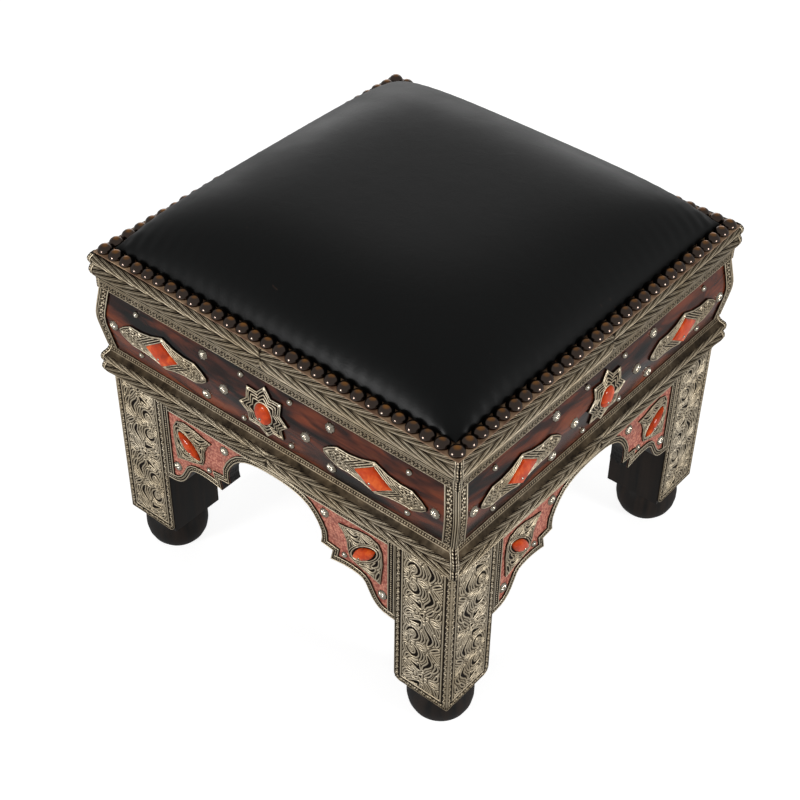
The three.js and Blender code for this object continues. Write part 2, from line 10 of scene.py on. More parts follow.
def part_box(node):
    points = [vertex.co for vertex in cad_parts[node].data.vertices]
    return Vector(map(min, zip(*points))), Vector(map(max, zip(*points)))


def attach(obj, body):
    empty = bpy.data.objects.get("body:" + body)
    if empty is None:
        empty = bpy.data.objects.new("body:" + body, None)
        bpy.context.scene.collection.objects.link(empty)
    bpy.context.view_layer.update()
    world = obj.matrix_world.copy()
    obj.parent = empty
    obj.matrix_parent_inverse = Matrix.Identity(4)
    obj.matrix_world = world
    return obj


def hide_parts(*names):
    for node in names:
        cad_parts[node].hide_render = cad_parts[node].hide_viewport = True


bl_info = {
    "name": "Moroccan Kursi Stool",
    "version": (1, 0, 0),
    "blender": (4, 5, 0),
    "location": "View3D > Sidebar > Kursi",
    "description": "Embossed metal, veneer, gems, nails and leather for the kursi stool",
    "category": "Object",
}

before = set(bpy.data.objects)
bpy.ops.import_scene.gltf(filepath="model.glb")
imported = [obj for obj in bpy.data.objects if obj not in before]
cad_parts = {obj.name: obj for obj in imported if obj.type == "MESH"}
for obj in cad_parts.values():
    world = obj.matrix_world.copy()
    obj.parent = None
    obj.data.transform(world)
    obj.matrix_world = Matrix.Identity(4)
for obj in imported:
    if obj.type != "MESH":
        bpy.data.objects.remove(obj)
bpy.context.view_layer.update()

MM = 0.001
SIDES = ("front", "right", "back", "left")
CORNERS = ("front_right", "right_back", "back_left", "left_front")
# The two ends of a side: number, direction along it, and its corner on each side in turn
ENDS = ((1, -1, CORNERS[-1:] + CORNERS[:-1]), (2, 1, CORNERS))

# How far the nail row's corners lie out of square, in millimetres, as it was set by eye: front
# right first
ROW_SKEW = ((3.4, -5.2), (2.8, -3.2), (2.0, 1.8), (1.0, 0.6))

# Shares that the frame's own pieces were drawn with
ARCH_SKIRT = (
    (1, 0), (0.92, 0.012), (0.861, 0.055), (0.809, 0.152), (0.765, 0.29),
    (0.72, 0.339), (0.638, 0.352), (0.557, 0.342), (0.475, 0.315),
)
ARCH_NOTCH = (0.494, 0.461)
ARCH_SHOULDER = (
    (0.397, 0.479), (0.407, 0.624), (0.366, 0.77), (0.297, 0.894),
    (0.208, 0.961), (0.111, 0.992), (0, 1),
)
LOWER_RUNS = ((0, 0, 0), (0.68, 0.153, 0), (0.77, 0.472, 0.275), (0.87, 0.736, 0.18),
              (0.135, 1, -0.12))
RIM_RUNS = ((0.486, 0, 0), (0.486, 0.294, 0), (0.76, 0.683, 0.35), (0.62, 1, 0.29))
FRIEZE_BOW = ((0, 0), (0.58, 0.25), (0.93, 0.41), (1, 0.5), (0.93, 0.59), (0.58, 0.75), (0, 1))
LOZENGE_QUARTER = ((1, 0.1), (0.9, 0.36), (0.73, 0.64), (0.49, 0.63), (0.26, 0.74), (0, 1))
LEAF_OUTLINE = (
    (0, 0.87), (0.12, 0.74), (0.2, 0.56), (0.21, 0.4), (0.26, 0.22), (0.5, 0.13),
    (0.74, 0.07), (0.95, 0), (0.97, 0.22), (1, 0.5), (0.98, 0.78), (0.9, 0.93),
    (0.7, 1), (0.44, 0.97), (0.2, 0.9),
)
LEAF_GEM = (0.585, 0.505)
LEAF_SIZE = (48.0, 48.5)


def linear(hex_colour):
    """Linear red, green and blue of an sRGB hex colour."""
    shares = [int(hex_colour[i:i + 2], 16) / 255 for i in (1, 3, 5)]
    return tuple(s / 12.92 if s <= 0.04045 else ((s + 0.055) / 1.055) ** 2.4 for s in shares)


def rgba(colour):
    return (*colour, 1.0)


def grey(share):
    return rgba((share, share, share))


def span(node):
    """Lowest and highest corner of a CAD node, in millimetres."""
    low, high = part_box(node)
    return np.array(low) / MM, np.array(high) / MM


# Heights and faces, in millimetres, as the frame has them
FACE = -span("front_apron_trim")[0][1]
LEG_INNER, LEG_BOTTOM = span("front_right_leg_cladding")[0][[0, 2]]
MOULDING_BOTTOM = span("front_lower_moulding")[0][2]
MOULDING_TOP = span("front_lower_moulding")[1][2]
BEAD_OUT = 7.4
FRIEZE_BOTTOM = span("front_frieze_board")[0][2]
FRIEZE_TOP = span("front_frieze_board")[1][2]
FRIEZE_EDGE = FACE + 0.7
FRIEZE_BULGE = 4.8
LIP_BOTTOM = span("front_rim_rail")[0][2]
RIM_TOP = span("front_rim_rail")[1][2]
RIM_INNER = FACE - 18
LIP_INNER = FACE + 2.3
SEAT_HALF = span("leather_cover")[1][0]
SEAT_BASE = span("leather_cover")[0][2]
SEAT_TOP = span("leather_cover")[1][2]
NAIL_ROW = FACE - 3.4
NAIL_TOP = span("nailed_hem")[1][2]
APRON_HALF = LEG_INNER - 0.3
ARCH_SPRING = MOULDING_BOTTOM - 89.5
ARCH_RISE = 82.5
FOOT_AXIS = FACE - 29
SHEET = 0.8
GAP = 0.3
APRON_FACE = FACE - SHEET - GAP
# Widths of the metal strips beside the legs and under the moulding
LEG_STRIP = 8.0
HEAD_STRIP = 5.0
# The leather's upright edge, which the nails hold
SEAT_EDGE = 3
# The seat's filling: frames and pressure of the cloth, how far it may push the leather, and
# how many times the push is evened out
FILLING_FRAMES = 20
FILLING_PRESSURE = 4.0
SEAT_SWELL = 7.0
SWELL_PASSES = 80
# The hem's reach past the middle of the nails, its width and its thickness
HEM_REACH, HEM_WIDTH, HEM_THICK = 7.4, 15, 0.9
# Spread of the seat nails' places and tilts, as a hammer leaves them
NAIL_WANDER, NAIL_TILT = 0.35, 0.06


def spline(points, steps):
    """Smooth run of rows through the given rows, with equal steps in each stretch's share."""
    points = np.array(points, float)
    last = len(points) - 1
    made = []
    for step in range(steps + 1):
        place = step / steps * last
        i = min(int(place), last - 1)
        t = place - i
        p0, p1, p2, p3 = points[max(i - 1, 0)], points[i], points[i + 1], points[min(i + 2, last)]
        v0, v1 = (p2 - p0) / 2, (p3 - p1) / 2
        made.append((2 * p1 - 2 * p2 + v0 + v1) * t ** 3
                    + (3 * p2 - 3 * p1 - 2 * v0 - v1) * t ** 2 + v0 * t + p1)
    return np.array(made)


def frieze_out(z):
    """How far the bowed frieze's face stands from the middle at a height."""
    bow = spline([(out * FRIEZE_BULGE, up) for out, up in FRIEZE_BOW], 10)
    heights = FRIEZE_BOTTOM + bow[:, 1] * (FRIEZE_TOP - FRIEZE_BOTTOM)
    return FRIEZE_EDGE + np.interp(z, heights, bow[:, 0])


def apron_out(z):
    """How far the apron's face, with its metal sheet, stands from the middle."""
    return np.full(np.shape(z), FACE)


def stroke_distance(x, y, strokes):
    """Distance to the nearest stroke, negative inside. A stroke is a run of (x, y, radius)."""
    nearest = np.full(np.shape(x), 99.0)
    for stroke in strokes:
        for (ax, ay, ar), (bx, by, br) in zip(stroke, stroke[1:]):
            length = (bx - ax) ** 2 + (by - ay) ** 2 + 1e-9
            t = np.clip(((x - ax) * (bx - ax) + (y - ay) * (by - ay)) / length, 0, 1)
            away = np.hypot(x - ax - t * (bx - ax), y - ay - t * (by - ay))
            nearest = np.minimum(nearest, away - ar - t * (br - ar))
    return nearest


def arc_lengths(points):
    """Distance along a run of points from its start."""
    return np.concatenate([[0], np.cumsum(np.hypot(*np.diff(points, axis=0).T))])


def highest(*heights):
    """The highest of several height fields at each point."""
    return functools.reduce(np.maximum, heights)


def ridge(distance, width):
    """Rounded ridge, 1 on its crest and 0 from half its width on."""
    share = np.clip(np.abs(distance) / (width / 2), 0, 1)
    return np.sqrt(1 - share ** 2)


def inside(distance, softness):
    """1 inside an outline, 0 outside, with a soft step between."""
    share = np.clip(0.5 - distance / (2 * softness), 0, 1)
    return share * share * (3 - 2 * share)


def dotted(along, across, pitch, size):
    """Row of round bosses along a line."""
    offset = (along / pitch + 0.5) % 1 - 0.5
    reach = np.clip(np.hypot(offset * pitch, across) / (size / 2), 0, 1)
    return np.sqrt(1 - reach ** 2)


def foliage(along, across):
    """Fine scrolled leafwork that fills a band."""
    sway = 1.2 * np.sin(2 * math.pi * across / 4.3 + 0.7) + 0.5 * np.sin(along / 7.0)
    leaf = np.sin(2 * math.pi * along / 3.6 + sway)
    curl = np.cos(2 * math.pi * (across / 3.4 + 0.18 * np.sin(2 * math.pi * along / 7.2)))
    return np.clip(0.48 + 1.1 * leaf * curl, 0, 1)


def make_object(name, points, faces, relief=None, smooth=True):
    """New piece from points in millimetres. Relief is the height of the embossing, 0 to 1, which
    the metal's colour follows: low relief is painted dark, as patina and painted shade.
    """
    mesh = bpy.data.meshes.new(name)
    mesh.from_pydata((np.array(points, float) * MM).tolist(), [], faces)
    if relief is not None:
        layer = mesh.attributes.new("relief", "FLOAT", "POINT")
        layer.data.foreach_set("value", np.clip(np.array(relief, float), 0, 1))
    mesh.polygons.foreach_set("use_smooth", [smooth] * len(mesh.polygons))
    mesh.update()
    piece = bpy.data.objects.new(name, mesh)
    bpy.context.scene.collection.objects.link(piece)
    return piece


def grid_quads(rows, columns, start=0):
    quads = []
    for i in range(rows - 1):
        for j in range(columns - 1):
            a = start + i * columns + j
            quads.append((a, a + 1, a + 1 + columns, a + columns))
    return quads


def on_side(along, z, out):
    """Points of the front side, which faces -Y."""
    return np.stack([along, -out, z], -1)


def panel(name, along, z, out, relief, depth):
    """Closed embossed sheet over a grid whose rows climb and whose columns run to +X."""
    rows, columns = along.shape
    front = on_side(along, z, out).reshape(-1, 3)
    ends = np.stack([along[:, [0, -1]], z[:, [0, -1]], np.repeat(out.min(1)[:, None], 2, 1)])
    back = on_side(ends[0], ends[1], ends[2] - depth).reshape(-1, 3)
    first = rows * columns
    faces = grid_quads(rows, columns)
    for i in range(rows - 1):
        left, right = first + 2 * i, first + 2 * i + 1
        faces.append((left, left + 2, right + 2, right))
        a, b = i * columns, (i + 1) * columns
        faces.append((a, b, left + 2, left))
        faces.append((b - 1, right, right + 2, b + columns - 1))
    faces.append((*range(columns - 1, -1, -1), first, first + 1))
    top = (rows - 1) * columns
    faces.append((*range(top, top + columns), first + 2 * rows - 1, first + 2 * rows - 2))
    return make_object(name, np.concatenate([front, back]), faces,
                       np.concatenate([relief.ravel(), np.zeros(2 * rows)]))


def end_panel(name, mirror, along, z, out, relief, depth):
    """Panel at one end of the front side, drawn for the right end and mirrored for the left."""
    grids = (mirror * along, z, out, relief)
    if mirror < 0:
        grids = [grid[:, ::-1] for grid in grids]
    return panel(name, *grids, depth)


def disc(name, centre, outline, rings, place, height, depth):
    """Closed embossed plaque: rings drawn out from a centre to an outline.

    place(z) gives the face that the plaque follows, and height(share, along, z) its relief
    and how far it stands off."""
    centre, outline = np.array(centre, float), np.array(outline, float)
    shares = np.arange(1, rings + 1) / rings
    points = centre + shares[:, None, None] * (outline - centre)
    along = np.concatenate([[centre[0]], points[..., 0].ravel()])
    z = np.concatenate([[centre[1]], points[..., 1].ravel()])
    share = np.concatenate([[0], np.repeat(shares, len(outline))])
    relief, lift = height(share, along, z)
    front = on_side(along, z, place(z) + lift)
    edge = points[-1]
    back = on_side(edge[:, 0], edge[:, 1], place(edge[:, 1]) - depth)
    count = len(outline)
    faces = []
    for j in range(count):
        k = (j + 1) % count
        faces.append((0, 1 + j, 1 + k))
        for i in range(rings - 1):
            a = 1 + i * count
            faces.append((a + j, a + count + j, a + count + k, a + k))
        rim, foot = 1 + (rings - 1) * count, 1 + rings * count
        faces.append((rim + j, foot + j, foot + k, rim + k))
    faces.append(tuple(range(rings * count + count, rings * count, -1)))
    return make_object(name, np.concatenate([front, back]), faces,
                       np.concatenate([relief, np.zeros(count)]))


def divided(outline, step):
    """Closed outline with its edges divided into equal steps, keeping its corners."""
    outline = np.array(outline, float)
    made = []
    for a, b in zip(outline, np.roll(outline, -1, 0)):
        count = max(1, round(float(np.hypot(*(b - a))) / step))
        made += [a + (b - a) * i / count for i in range(count)]
    return np.array(made)


def recalculate(piece):
    """Turns every face of a closed piece outwards."""
    work = bmesh.new()
    work.from_mesh(piece.data)
    bmesh.ops.recalc_face_normals(work, faces=work.faces)
    work.to_mesh(piece.data)
    work.free()
    return piece


def settle(piece, slot, material, *replaced):
    """Gives a finished piece its material and its body. The slot is not used."""
    piece.data.materials.clear()
    piece.data.materials.append(bpy.data.materials[material])
    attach(piece, "root")
    if replaced:
        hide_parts(*replaced)


def turned_copy(piece, name, quarter):
    """Copy of a piece, with a mesh of its own, turned by quarters about the middle."""
    copy = piece.copy()
    copy.data = piece.data.copy()
    copy.name = copy.data.name = name
    bpy.context.scene.collection.objects.link(copy)
    copy.data.transform(Matrix.Rotation(math.pi / 2 * quarter, 4, "Z"))
    return copy


def named(places, ending):
    return [f"{place}_{ending}" for place in places]


def round_all(piece, name, slot, material="embossed_nickel_silver", places=SIDES, replaced=()):
    """Settles a front piece and its three copies. Replaced has the CAD node of each."""
    names = named(places, name)
    piece.name = piece.data.name = names[0]
    pieces = [piece] + [turned_copy(piece, names[k], k) for k in range(1, 4)]
    for k, one in enumerate(pieces):
        settle(one, slot, material, *replaced[k:k + 1])


def set_down(piece, change=Matrix()):
    """Moves a piece's place, and a change after it, from its object to its mesh."""
    piece.data.transform(change @ Matrix.Translation(piece.location))
    piece.location = (0, 0, 0)


def deselect():
    if bpy.context.object and bpy.context.object.mode != "OBJECT":
        bpy.ops.object.mode_set(mode="OBJECT")
    bpy.ops.object.select_all(action="DESELECT")


def drawn_up(name, sides, levels, flatten=(1, 1)):
    """Piece drawn up ring by ring from a disc: levels are (radius, height) in millimetres."""
    deselect()
    radius, height = levels[0]
    bpy.ops.mesh.primitive_circle_add(vertices=sides, radius=radius * MM, fill_type="NGON",
                                      location=(0, 0, height * MM))
    piece = bpy.context.object
    piece.name = piece.data.name = name
    bpy.ops.object.mode_set(mode="EDIT")
    bpy.ops.mesh.select_all(action="SELECT")
    for next_radius, next_height in levels[1:]:
        bpy.ops.mesh.extrude_region_move(
            TRANSFORM_OT_translate={"value": (0, 0, (next_height - height) * MM)})
        bpy.ops.transform.resize(value=(next_radius / radius, next_radius / radius, 1))
        radius, height = next_radius, next_height
    bpy.ops.mesh.select_all(action="SELECT")
    bpy.ops.mesh.remove_doubles(threshold=1e-6)
    bpy.ops.mesh.normals_make_consistent(inside=False)
    bpy.ops.object.mode_set(mode="OBJECT")
    set_down(piece, Matrix.Diagonal((*flatten, 1, 1)))
    bpy.ops.object.shade_smooth_by_angle(angle=math.radians(35))
    return piece


def skewed(x, y):
    """Moves points of the seat with the corners of its nail row."""
    u, v = x / NAIL_ROW, y / NAIL_ROW
    shares = ((1 + u) * (1 - v) / 4, (1 + u) * (1 + v) / 4, (1 - u) * (1 + v) / 4,
              (1 - u) * (1 - v) / 4)
    return (x + sum(s * dx for s, (dx, dy) in zip(shares, ROW_SKEW)),
            y + sum(s * dy for s, (dx, dy) in zip(shares, ROW_SKEW)))


def spread(piece, name, places):
    """One piece made of copies of another's mesh, each at its own matrix."""
    work = bmesh.new()
    for place in places:
        mesh = piece.data.copy()
        mesh.transform(place)
        work.from_mesh(mesh)
        bpy.data.meshes.remove(mesh)
    mesh = bpy.data.meshes.new(name)
    work.to_mesh(mesh)
    work.free()
    made = bpy.data.objects.new(name, mesh)
    bpy.context.scene.collection.objects.link(made)
    return made


def standing(along, z, out, spin=0.0):
    """Matrix that stands a flat-drawn piece up on the front side, spun about its own axis."""
    return (Matrix.Translation(Vector((along, -out, z)) * MM)
            @ Matrix.Rotation(math.pi / 2, 4, "X") @ Matrix.Rotation(spin, 4, "Z"))


# Materials. A pattern's scale is in cells a metre, so 1000 / scale is a cell's width in
# millimetres. A Mapping's Scale divides that width, and each level of detail halves it


def fill(node, inputs):
    """Gives a node's inputs their values, or a link from a socket or a node's first output."""
    for name, value in inputs.items():
        if isinstance(value, bpy.types.Node):
            value = value.outputs[0]
        if isinstance(value, bpy.types.NodeSocket):
            node.id_data.links.new(value, node.inputs[name])
        else:
            node.inputs[name].default_value = value


def add_node(tree, kind, inputs=None, stops=(), **settings):
    """Adds a node with its settings, its inputs' values or links, and its ramp's stops."""
    made = tree.nodes.new(kind)
    for name, value in settings.items():
        setattr(made, name, value)
    fill(made, inputs or {})
    if stops:
        elements = made.color_ramp.elements
        while len(elements) < len(stops):
            elements.new(0.5)
        for element, (place, colour) in zip(elements, stops):
            element.position, element.color = place, rgba(colour)
    return made


def new_material(name):
    """Starts a material and gives its tree, its shader and the object's coordinates."""
    material = bpy.data.materials.new(name)
    material.use_nodes = True
    tree = material.node_tree
    place = add_node(tree, "ShaderNodeTexCoord").outputs["Object"]
    return tree, tree.nodes["Principled BSDF"], place


def nickel_silver(colours, name, plain):
    """Nickel silver sheet, beaten over moulds: bright on the relief, as rubbed metal and painted
    highlight, and dark below it, as real patina and painted shade.

    Its mottle is in spots of 5.5 mm, as a rubbing cloth leaves them, and its warm tarnish in
    clouds of 40 mm. Plain is the height at which a sheet without embossing is coloured."""
    tree, shader, place = new_material(name)
    mottle = add_node(tree, "ShaderNodeTexNoise", {"Vector": place, "Scale": 180.0, "Detail": 4.0})
    cloud = add_node(tree, "ShaderNodeTexNoise", {"Vector": place, "Scale": 24.0, "Detail": 3.0})
    if plain is None:
        height = add_node(tree, "ShaderNodeAttribute", attribute_name="relief").outputs["Fac"]
    else:
        height = add_node(tree, "ShaderNodeMapRange", {
            "Value": mottle, "To Min": plain - 0.2, "To Max": plain + 0.2})
    # Painted shade with real patina: low relief is coloured dark, and high relief bright as rubbed
    # metal and painted highlight, with the rubbing cloth's mottle over it
    patina_shade_and_wear = add_node(tree, "ShaderNodeMath", {0: mottle, 1: 0.5}, operation="SUBTRACT")
    patina_shade_and_wear = add_node(tree, "ShaderNodeMath", {0: patina_shade_and_wear, 1: 0.35, 2: height},
                    operation="MULTIPLY_ADD")
    patina = add_node(tree, "ShaderNodeValToRGB", {"Fac": patina_shade_and_wear}, (
        (0.08, colours.patina), (0.3, colours.tarnish), (0.58, colours.nickel_shade),
        (0.9, colours.nickel)))
    warm = add_node(tree, "ShaderNodeMapRange", {
        "Value": cloud, "From Min": 0.35, "From Max": 0.7, "To Max": 0.4})
    tinted = add_node(tree, "ShaderNodeMix", {
        0: warm, 6: patina, 7: rgba(colours.nickel_warm),
    }, data_type="RGBA", blend_type="MULTIPLY")
    rough = add_node(tree, "ShaderNodeMapRange", {"Value": patina_shade_and_wear, "To Min": 0.66, "To Max": 0.46})
    beaten = add_node(tree, "ShaderNodeBump", {
        "Height": mottle, "Strength": 0.25, "Distance": 0.0004})
    fill(shader, {"Metallic": 1.0, "Base Color": tinted.outputs[2], "Roughness": rough,
                  "Normal": beaten})


def veneer(colours, name, quarter):
    """Rosewood veneer, sliced and lacquered: red-brown with black streaks along it.

    The streaks are 26 mm wide and 110 mm long, with finer ones in them. The pores are drawn
    0.65 mm wide, which is coarser than real ones, so that they show."""
    tree, shader, place = new_material(name)
    turned = add_node(tree, "ShaderNodeMapping", {
        "Vector": place, "Rotation": (0, 0, -math.pi / 2 * quarter),
        "Location": (0.137 * quarter, 0, 0.053 * quarter)})
    stretched = add_node(tree, "ShaderNodeMapping", {
        "Vector": turned, "Rotation": (0, 0.16, 0), "Scale": (1.0, 1.0, 4.2)})
    sway = add_node(tree, "ShaderNodeTexNoise", {
        "Vector": stretched, "Scale": 13.0, "Detail": 2.0, "Distortion": 1.6})
    streak = add_node(tree, "ShaderNodeTexNoise", {
        "Vector": stretched, "Scale": 9.0, "Detail": 5.0, "Roughness": 0.55, "Distortion": 0.9})
    figure = add_node(tree, "ShaderNodeValToRGB", {"Fac": streak}, (
        (0.4, colours.veneer_dark), (0.47, colours.veneer_mid), (0.56, colours.veneer),
        (0.72, colours.veneer_light)))
    fine = add_node(tree, "ShaderNodeMapping", {"Vector": turned, "Scale": (1.0, 1.0, 22.0)})
    pores = add_node(tree, "ShaderNodeTexNoise", {"Vector": fine, "Scale": 70.0, "Detail": 3.0})
    shade = add_node(tree, "ShaderNodeMapRange", {
        "Value": sway, "From Min": 0.42, "From Max": 0.62, "To Max": 0.75})
    dark = add_node(tree, "ShaderNodeMix", {
        0: shade, 6: figure, 7: rgba(colours.veneer_shade),
    }, data_type="RGBA", blend_type="MULTIPLY")
    grain = add_node(tree, "ShaderNodeMix", {
        0: 0.35, 6: dark.outputs[2], 7: pores.outputs["Color"],
    }, data_type="RGBA", blend_type="SOFT_LIGHT")
    bump = add_node(tree, "ShaderNodeBump", {
        "Height": pores, "Strength": 0.08, "Distance": 0.0003})
    fill(shader, {"Base Color": grain.outputs[2], "Roughness": 0.25, "IOR": 1.5,
                  "Specular IOR Level": 0.2, "Normal": bump})


def stippled_paint(colours):
    """Rose paint stippled with a coarse brush on the apron's face; its edges are black.

    The brush's dabs are 2.5 mm wide, and the worn patches 17 mm."""
    tree, shader, place = new_material("stippled_rose_paint")
    apart = add_node(tree, "ShaderNodeSeparateXYZ", {0: place})
    x, y = (add_node(tree, "ShaderNodeMath", {0: apart.outputs[k]}, operation="ABSOLUTE")
            for k in ("X", "Y"))
    reach = add_node(tree, "ShaderNodeMath", {0: x, 1: y}, operation="MAXIMUM")
    face = add_node(tree, "ShaderNodeMath", {0: reach, 1: (APRON_FACE - 0.1) * MM},
                    operation="GREATER_THAN")
    dabs = add_node(tree, "ShaderNodeTexVoronoi", {"Vector": place, "Scale": 400.0})
    blotch = add_node(tree, "ShaderNodeTexNoise", {"Vector": place, "Scale": 60.0, "Detail": 5.0})
    dab = add_node(tree, "ShaderNodeMapRange", {
        "Value": dabs, "From Min": 0.15, "From Max": 0.75})
    dusty = add_node(tree, "ShaderNodeMapRange", {
        "Value": blotch, "From Min": 0.45, "From Max": 0.7, "To Max": 0.55})
    rose = add_node(tree, "ShaderNodeMix", {
        0: dab, 6: rgba(colours.rose_light), 7: rgba(colours.rose)}, data_type="RGBA")
    faded = add_node(tree, "ShaderNodeMix", {
        0: dusty, 6: rose.outputs[2], 7: rgba(colours.rose_shade)}, data_type="RGBA")
    whole = add_node(tree, "ShaderNodeMix", {
        0: face, 6: rgba(colours.black_wood), 7: faded.outputs[2]}, data_type="RGBA")
    bump = add_node(tree, "ShaderNodeBump", {
        "Height": dabs, "Strength": 0.7, "Distance": 0.0008})
    fill(shader, {"Base Color": whole.outputs[2], "Roughness": 0.55, "Normal": bump})


def seat_leather(colours):
    """Calf leather, dyed black and waxed: a close grain, soft gloss and a few scuffs.

    The grain's pebbles are drawn 1.1 mm wide, which is coarser than real ones, so that they
    show. The scuffs come in patches of 18 mm, and the gloss changes over 70 mm."""
    tree, shader, place = new_material("black_waxed_leather")
    pebble = add_node(tree, "ShaderNodeTexVoronoi", {"Vector": place, "Scale": 900.0})
    cloud = add_node(tree, "ShaderNodeTexNoise", {"Vector": place, "Scale": 14.0, "Detail": 6.0})
    rub = add_node(tree, "ShaderNodeTexNoise", {
        "Vector": place, "Scale": 55.0, "Detail": 8.0, "Roughness": 0.7, "Distortion": 1.2})
    scuff = add_node(tree, "ShaderNodeMapRange", {
        "Value": rub, "From Min": 0.68, "From Max": 0.76})
    colour = add_node(tree, "ShaderNodeMix", {
        0: scuff, 6: rgba(colours.leather), 7: rgba(colours.leather_scuff)}, data_type="RGBA")
    rough = add_node(tree, "ShaderNodeMapRange", {
        "Value": cloud, "From Min": 0.3, "From Max": 0.7, "To Min": 0.34, "To Max": 0.46})
    grain = add_node(tree, "ShaderNodeBump", {
        "Height": pebble, "Strength": 0.12, "Distance": 0.0003})
    dents = add_node(tree, "ShaderNodeBump", {
        "Height": rub, "Strength": 0.18, "Distance": 0.001, "Normal": grain})
    fill(shader, {"Base Color": colour.outputs[2], "Roughness": rough, "IOR": 1.5,
                  "Specular IOR Level": 0.14, "Normal": dents})


def aged_bronze(colours):
    """Upholstery nails, pressed brass with a dark bronze finish, coloured lighter bronze on top as
    a painted reflection of the light above.

    The spots are 3 mm wide, and the tone changes over 22 mm, so from nail to nail."""
    tree, shader, place = new_material("aged_bronze_nail")
    spots = add_node(tree, "ShaderNodeTexNoise", {"Vector": place, "Scale": 320.0, "Detail": 4.0})
    patch = add_node(tree, "ShaderNodeTexNoise", {"Vector": place, "Scale": 45.0, "Detail": 1.0})
    # Painted reflection: the colour turns lighter where the nail faces up, with spots and patches
    # of random tone over it
    painted_top_reflection = add_node(tree, "ShaderNodeSeparateXYZ", {
        0: add_node(tree, "ShaderNodeNewGeometry").outputs["Normal"]}).outputs["Z"]
    for noise, share in ((spots, 0.12), (patch, 0.2)):
        painted_top_reflection = add_node(tree, "ShaderNodeMath", {0: noise, 1: share, 2: painted_top_reflection},
                          operation="MULTIPLY_ADD")
    painted_top_reflection = add_node(tree, "ShaderNodeMapRange", {
        "Value": painted_top_reflection, "From Min": 1.04, "From Max": 1.2})
    colour = add_node(tree, "ShaderNodeValToRGB", {"Fac": painted_top_reflection}, (
        (0.0, colours.bronze_dark), (1.0, colours.bronze)))
    rough = add_node(tree, "ShaderNodeMapRange", {"Value": spots, "To Min": 0.08, "To Max": 0.24})
    fill(shader, {"Metallic": 1.0, "Base Color": colour, "Roughness": rough})


def grained(name, stops, noise, rough, bump=None, stretch=None, sockets=None, glow=None):
    """Finish whose tones follow one noise, and its bump and roughness with them.

    Rough is a roughness or a range of them, and bump a strength and a depth in metres."""
    tree, shader, place = new_material(name)
    if stretch:
        place = add_node(tree, "ShaderNodeMapping", {"Vector": place, "Scale": stretch})
    grain = add_node(tree, "ShaderNodeTexNoise", {"Vector": place, **noise})
    colour = add_node(tree, "ShaderNodeValToRGB", {"Fac": grain}, stops)
    if isinstance(rough, tuple):
        rough = add_node(tree, "ShaderNodeMapRange", {
            "Value": grain, "To Min": rough[0], "To Max": rough[1]})
    fill(shader, {"Base Color": colour, "Roughness": rough, **(sockets or {})})
    if bump:
        fill(shader, {"Normal": add_node(tree, "ShaderNodeBump", {
            "Height": grain, "Strength": bump[0], "Distance": bump[1]})})
    # Painted glow: the finish gives out a little light in its own colour
    if glow:
        fill(shader, {"Emission Color": colour, "Emission Strength": glow})


def plain_finishes(colours):
    # Softwood, painted black by brush: satin, with the wood's grain just showing, in streaks
    # 6.7 mm wide and 95 mm long, the finest 0.2 mm wide
    for name, gloss in (("black_painted_wood", 0.4), ("black_turned_foot", 0.5)):
        grained(name, ((0.35, colours.black_wood), (0.75, colours.black_wood_worn)),
                {"Scale": 150.0, "Detail": 5.0}, (gloss, gloss + 0.25), (0.35, 0.0006),
                (1.0, 1.0, 0.07), {"Specular IOR Level": 0.18})
    # Pine, sawn and left raw: pale brown with straight grain, 9 mm wide and 150 mm long
    grained("raw_pine", ((0.3, colours.pine_dark), (0.7, colours.pine)),
            {"Scale": 110.0, "Detail": 4.0}, 0.75, (0.3, 0.0006), (0.06, 1.0, 1.0))
    # Cut edge of the seat's leather, under the nails: undyed, so pale brown, and dull.
    # Its tones are 11 mm wide and its fibres 0.35 mm
    grained("hem_leather", ((0.35, colours.hem_dark), (0.7, colours.hem)),
            {"Scale": 90.0, "Detail": 5.0}, 0.6, (0.4, 0.0006))
    # Small pressed nails with a bright silvered face, tarnished in spots of 4 mm
    grained("silvered_nail", ((0.3, colours.nickel_shade), (0.7, colours.silver)),
            {"Scale": 240.0, "Detail": 3.0}, (0.14, 0.3), sockets={"Metallic": 1.0})
    # Pressed glass, orange and cloudy: glossy, with paler drifts of 11 mm, and a faint painted
    # glow in its own colours
    grained("orange_pressed_glass",
            ((0.3, colours.gem_dark), (0.52, colours.gem), (0.75, colours.gem_light)),
            {"Scale": 90.0, "Detail": 3.0, "Distortion": 0.8}, 0.12, (0.15, 0.001),
            sockets={"IOR": 1.5, "Specular IOR Level": 0.2}, glow=0.05)


class KursiColours(bpy.types.PropertyGroup):
    """Colours of the stool's finishes."""


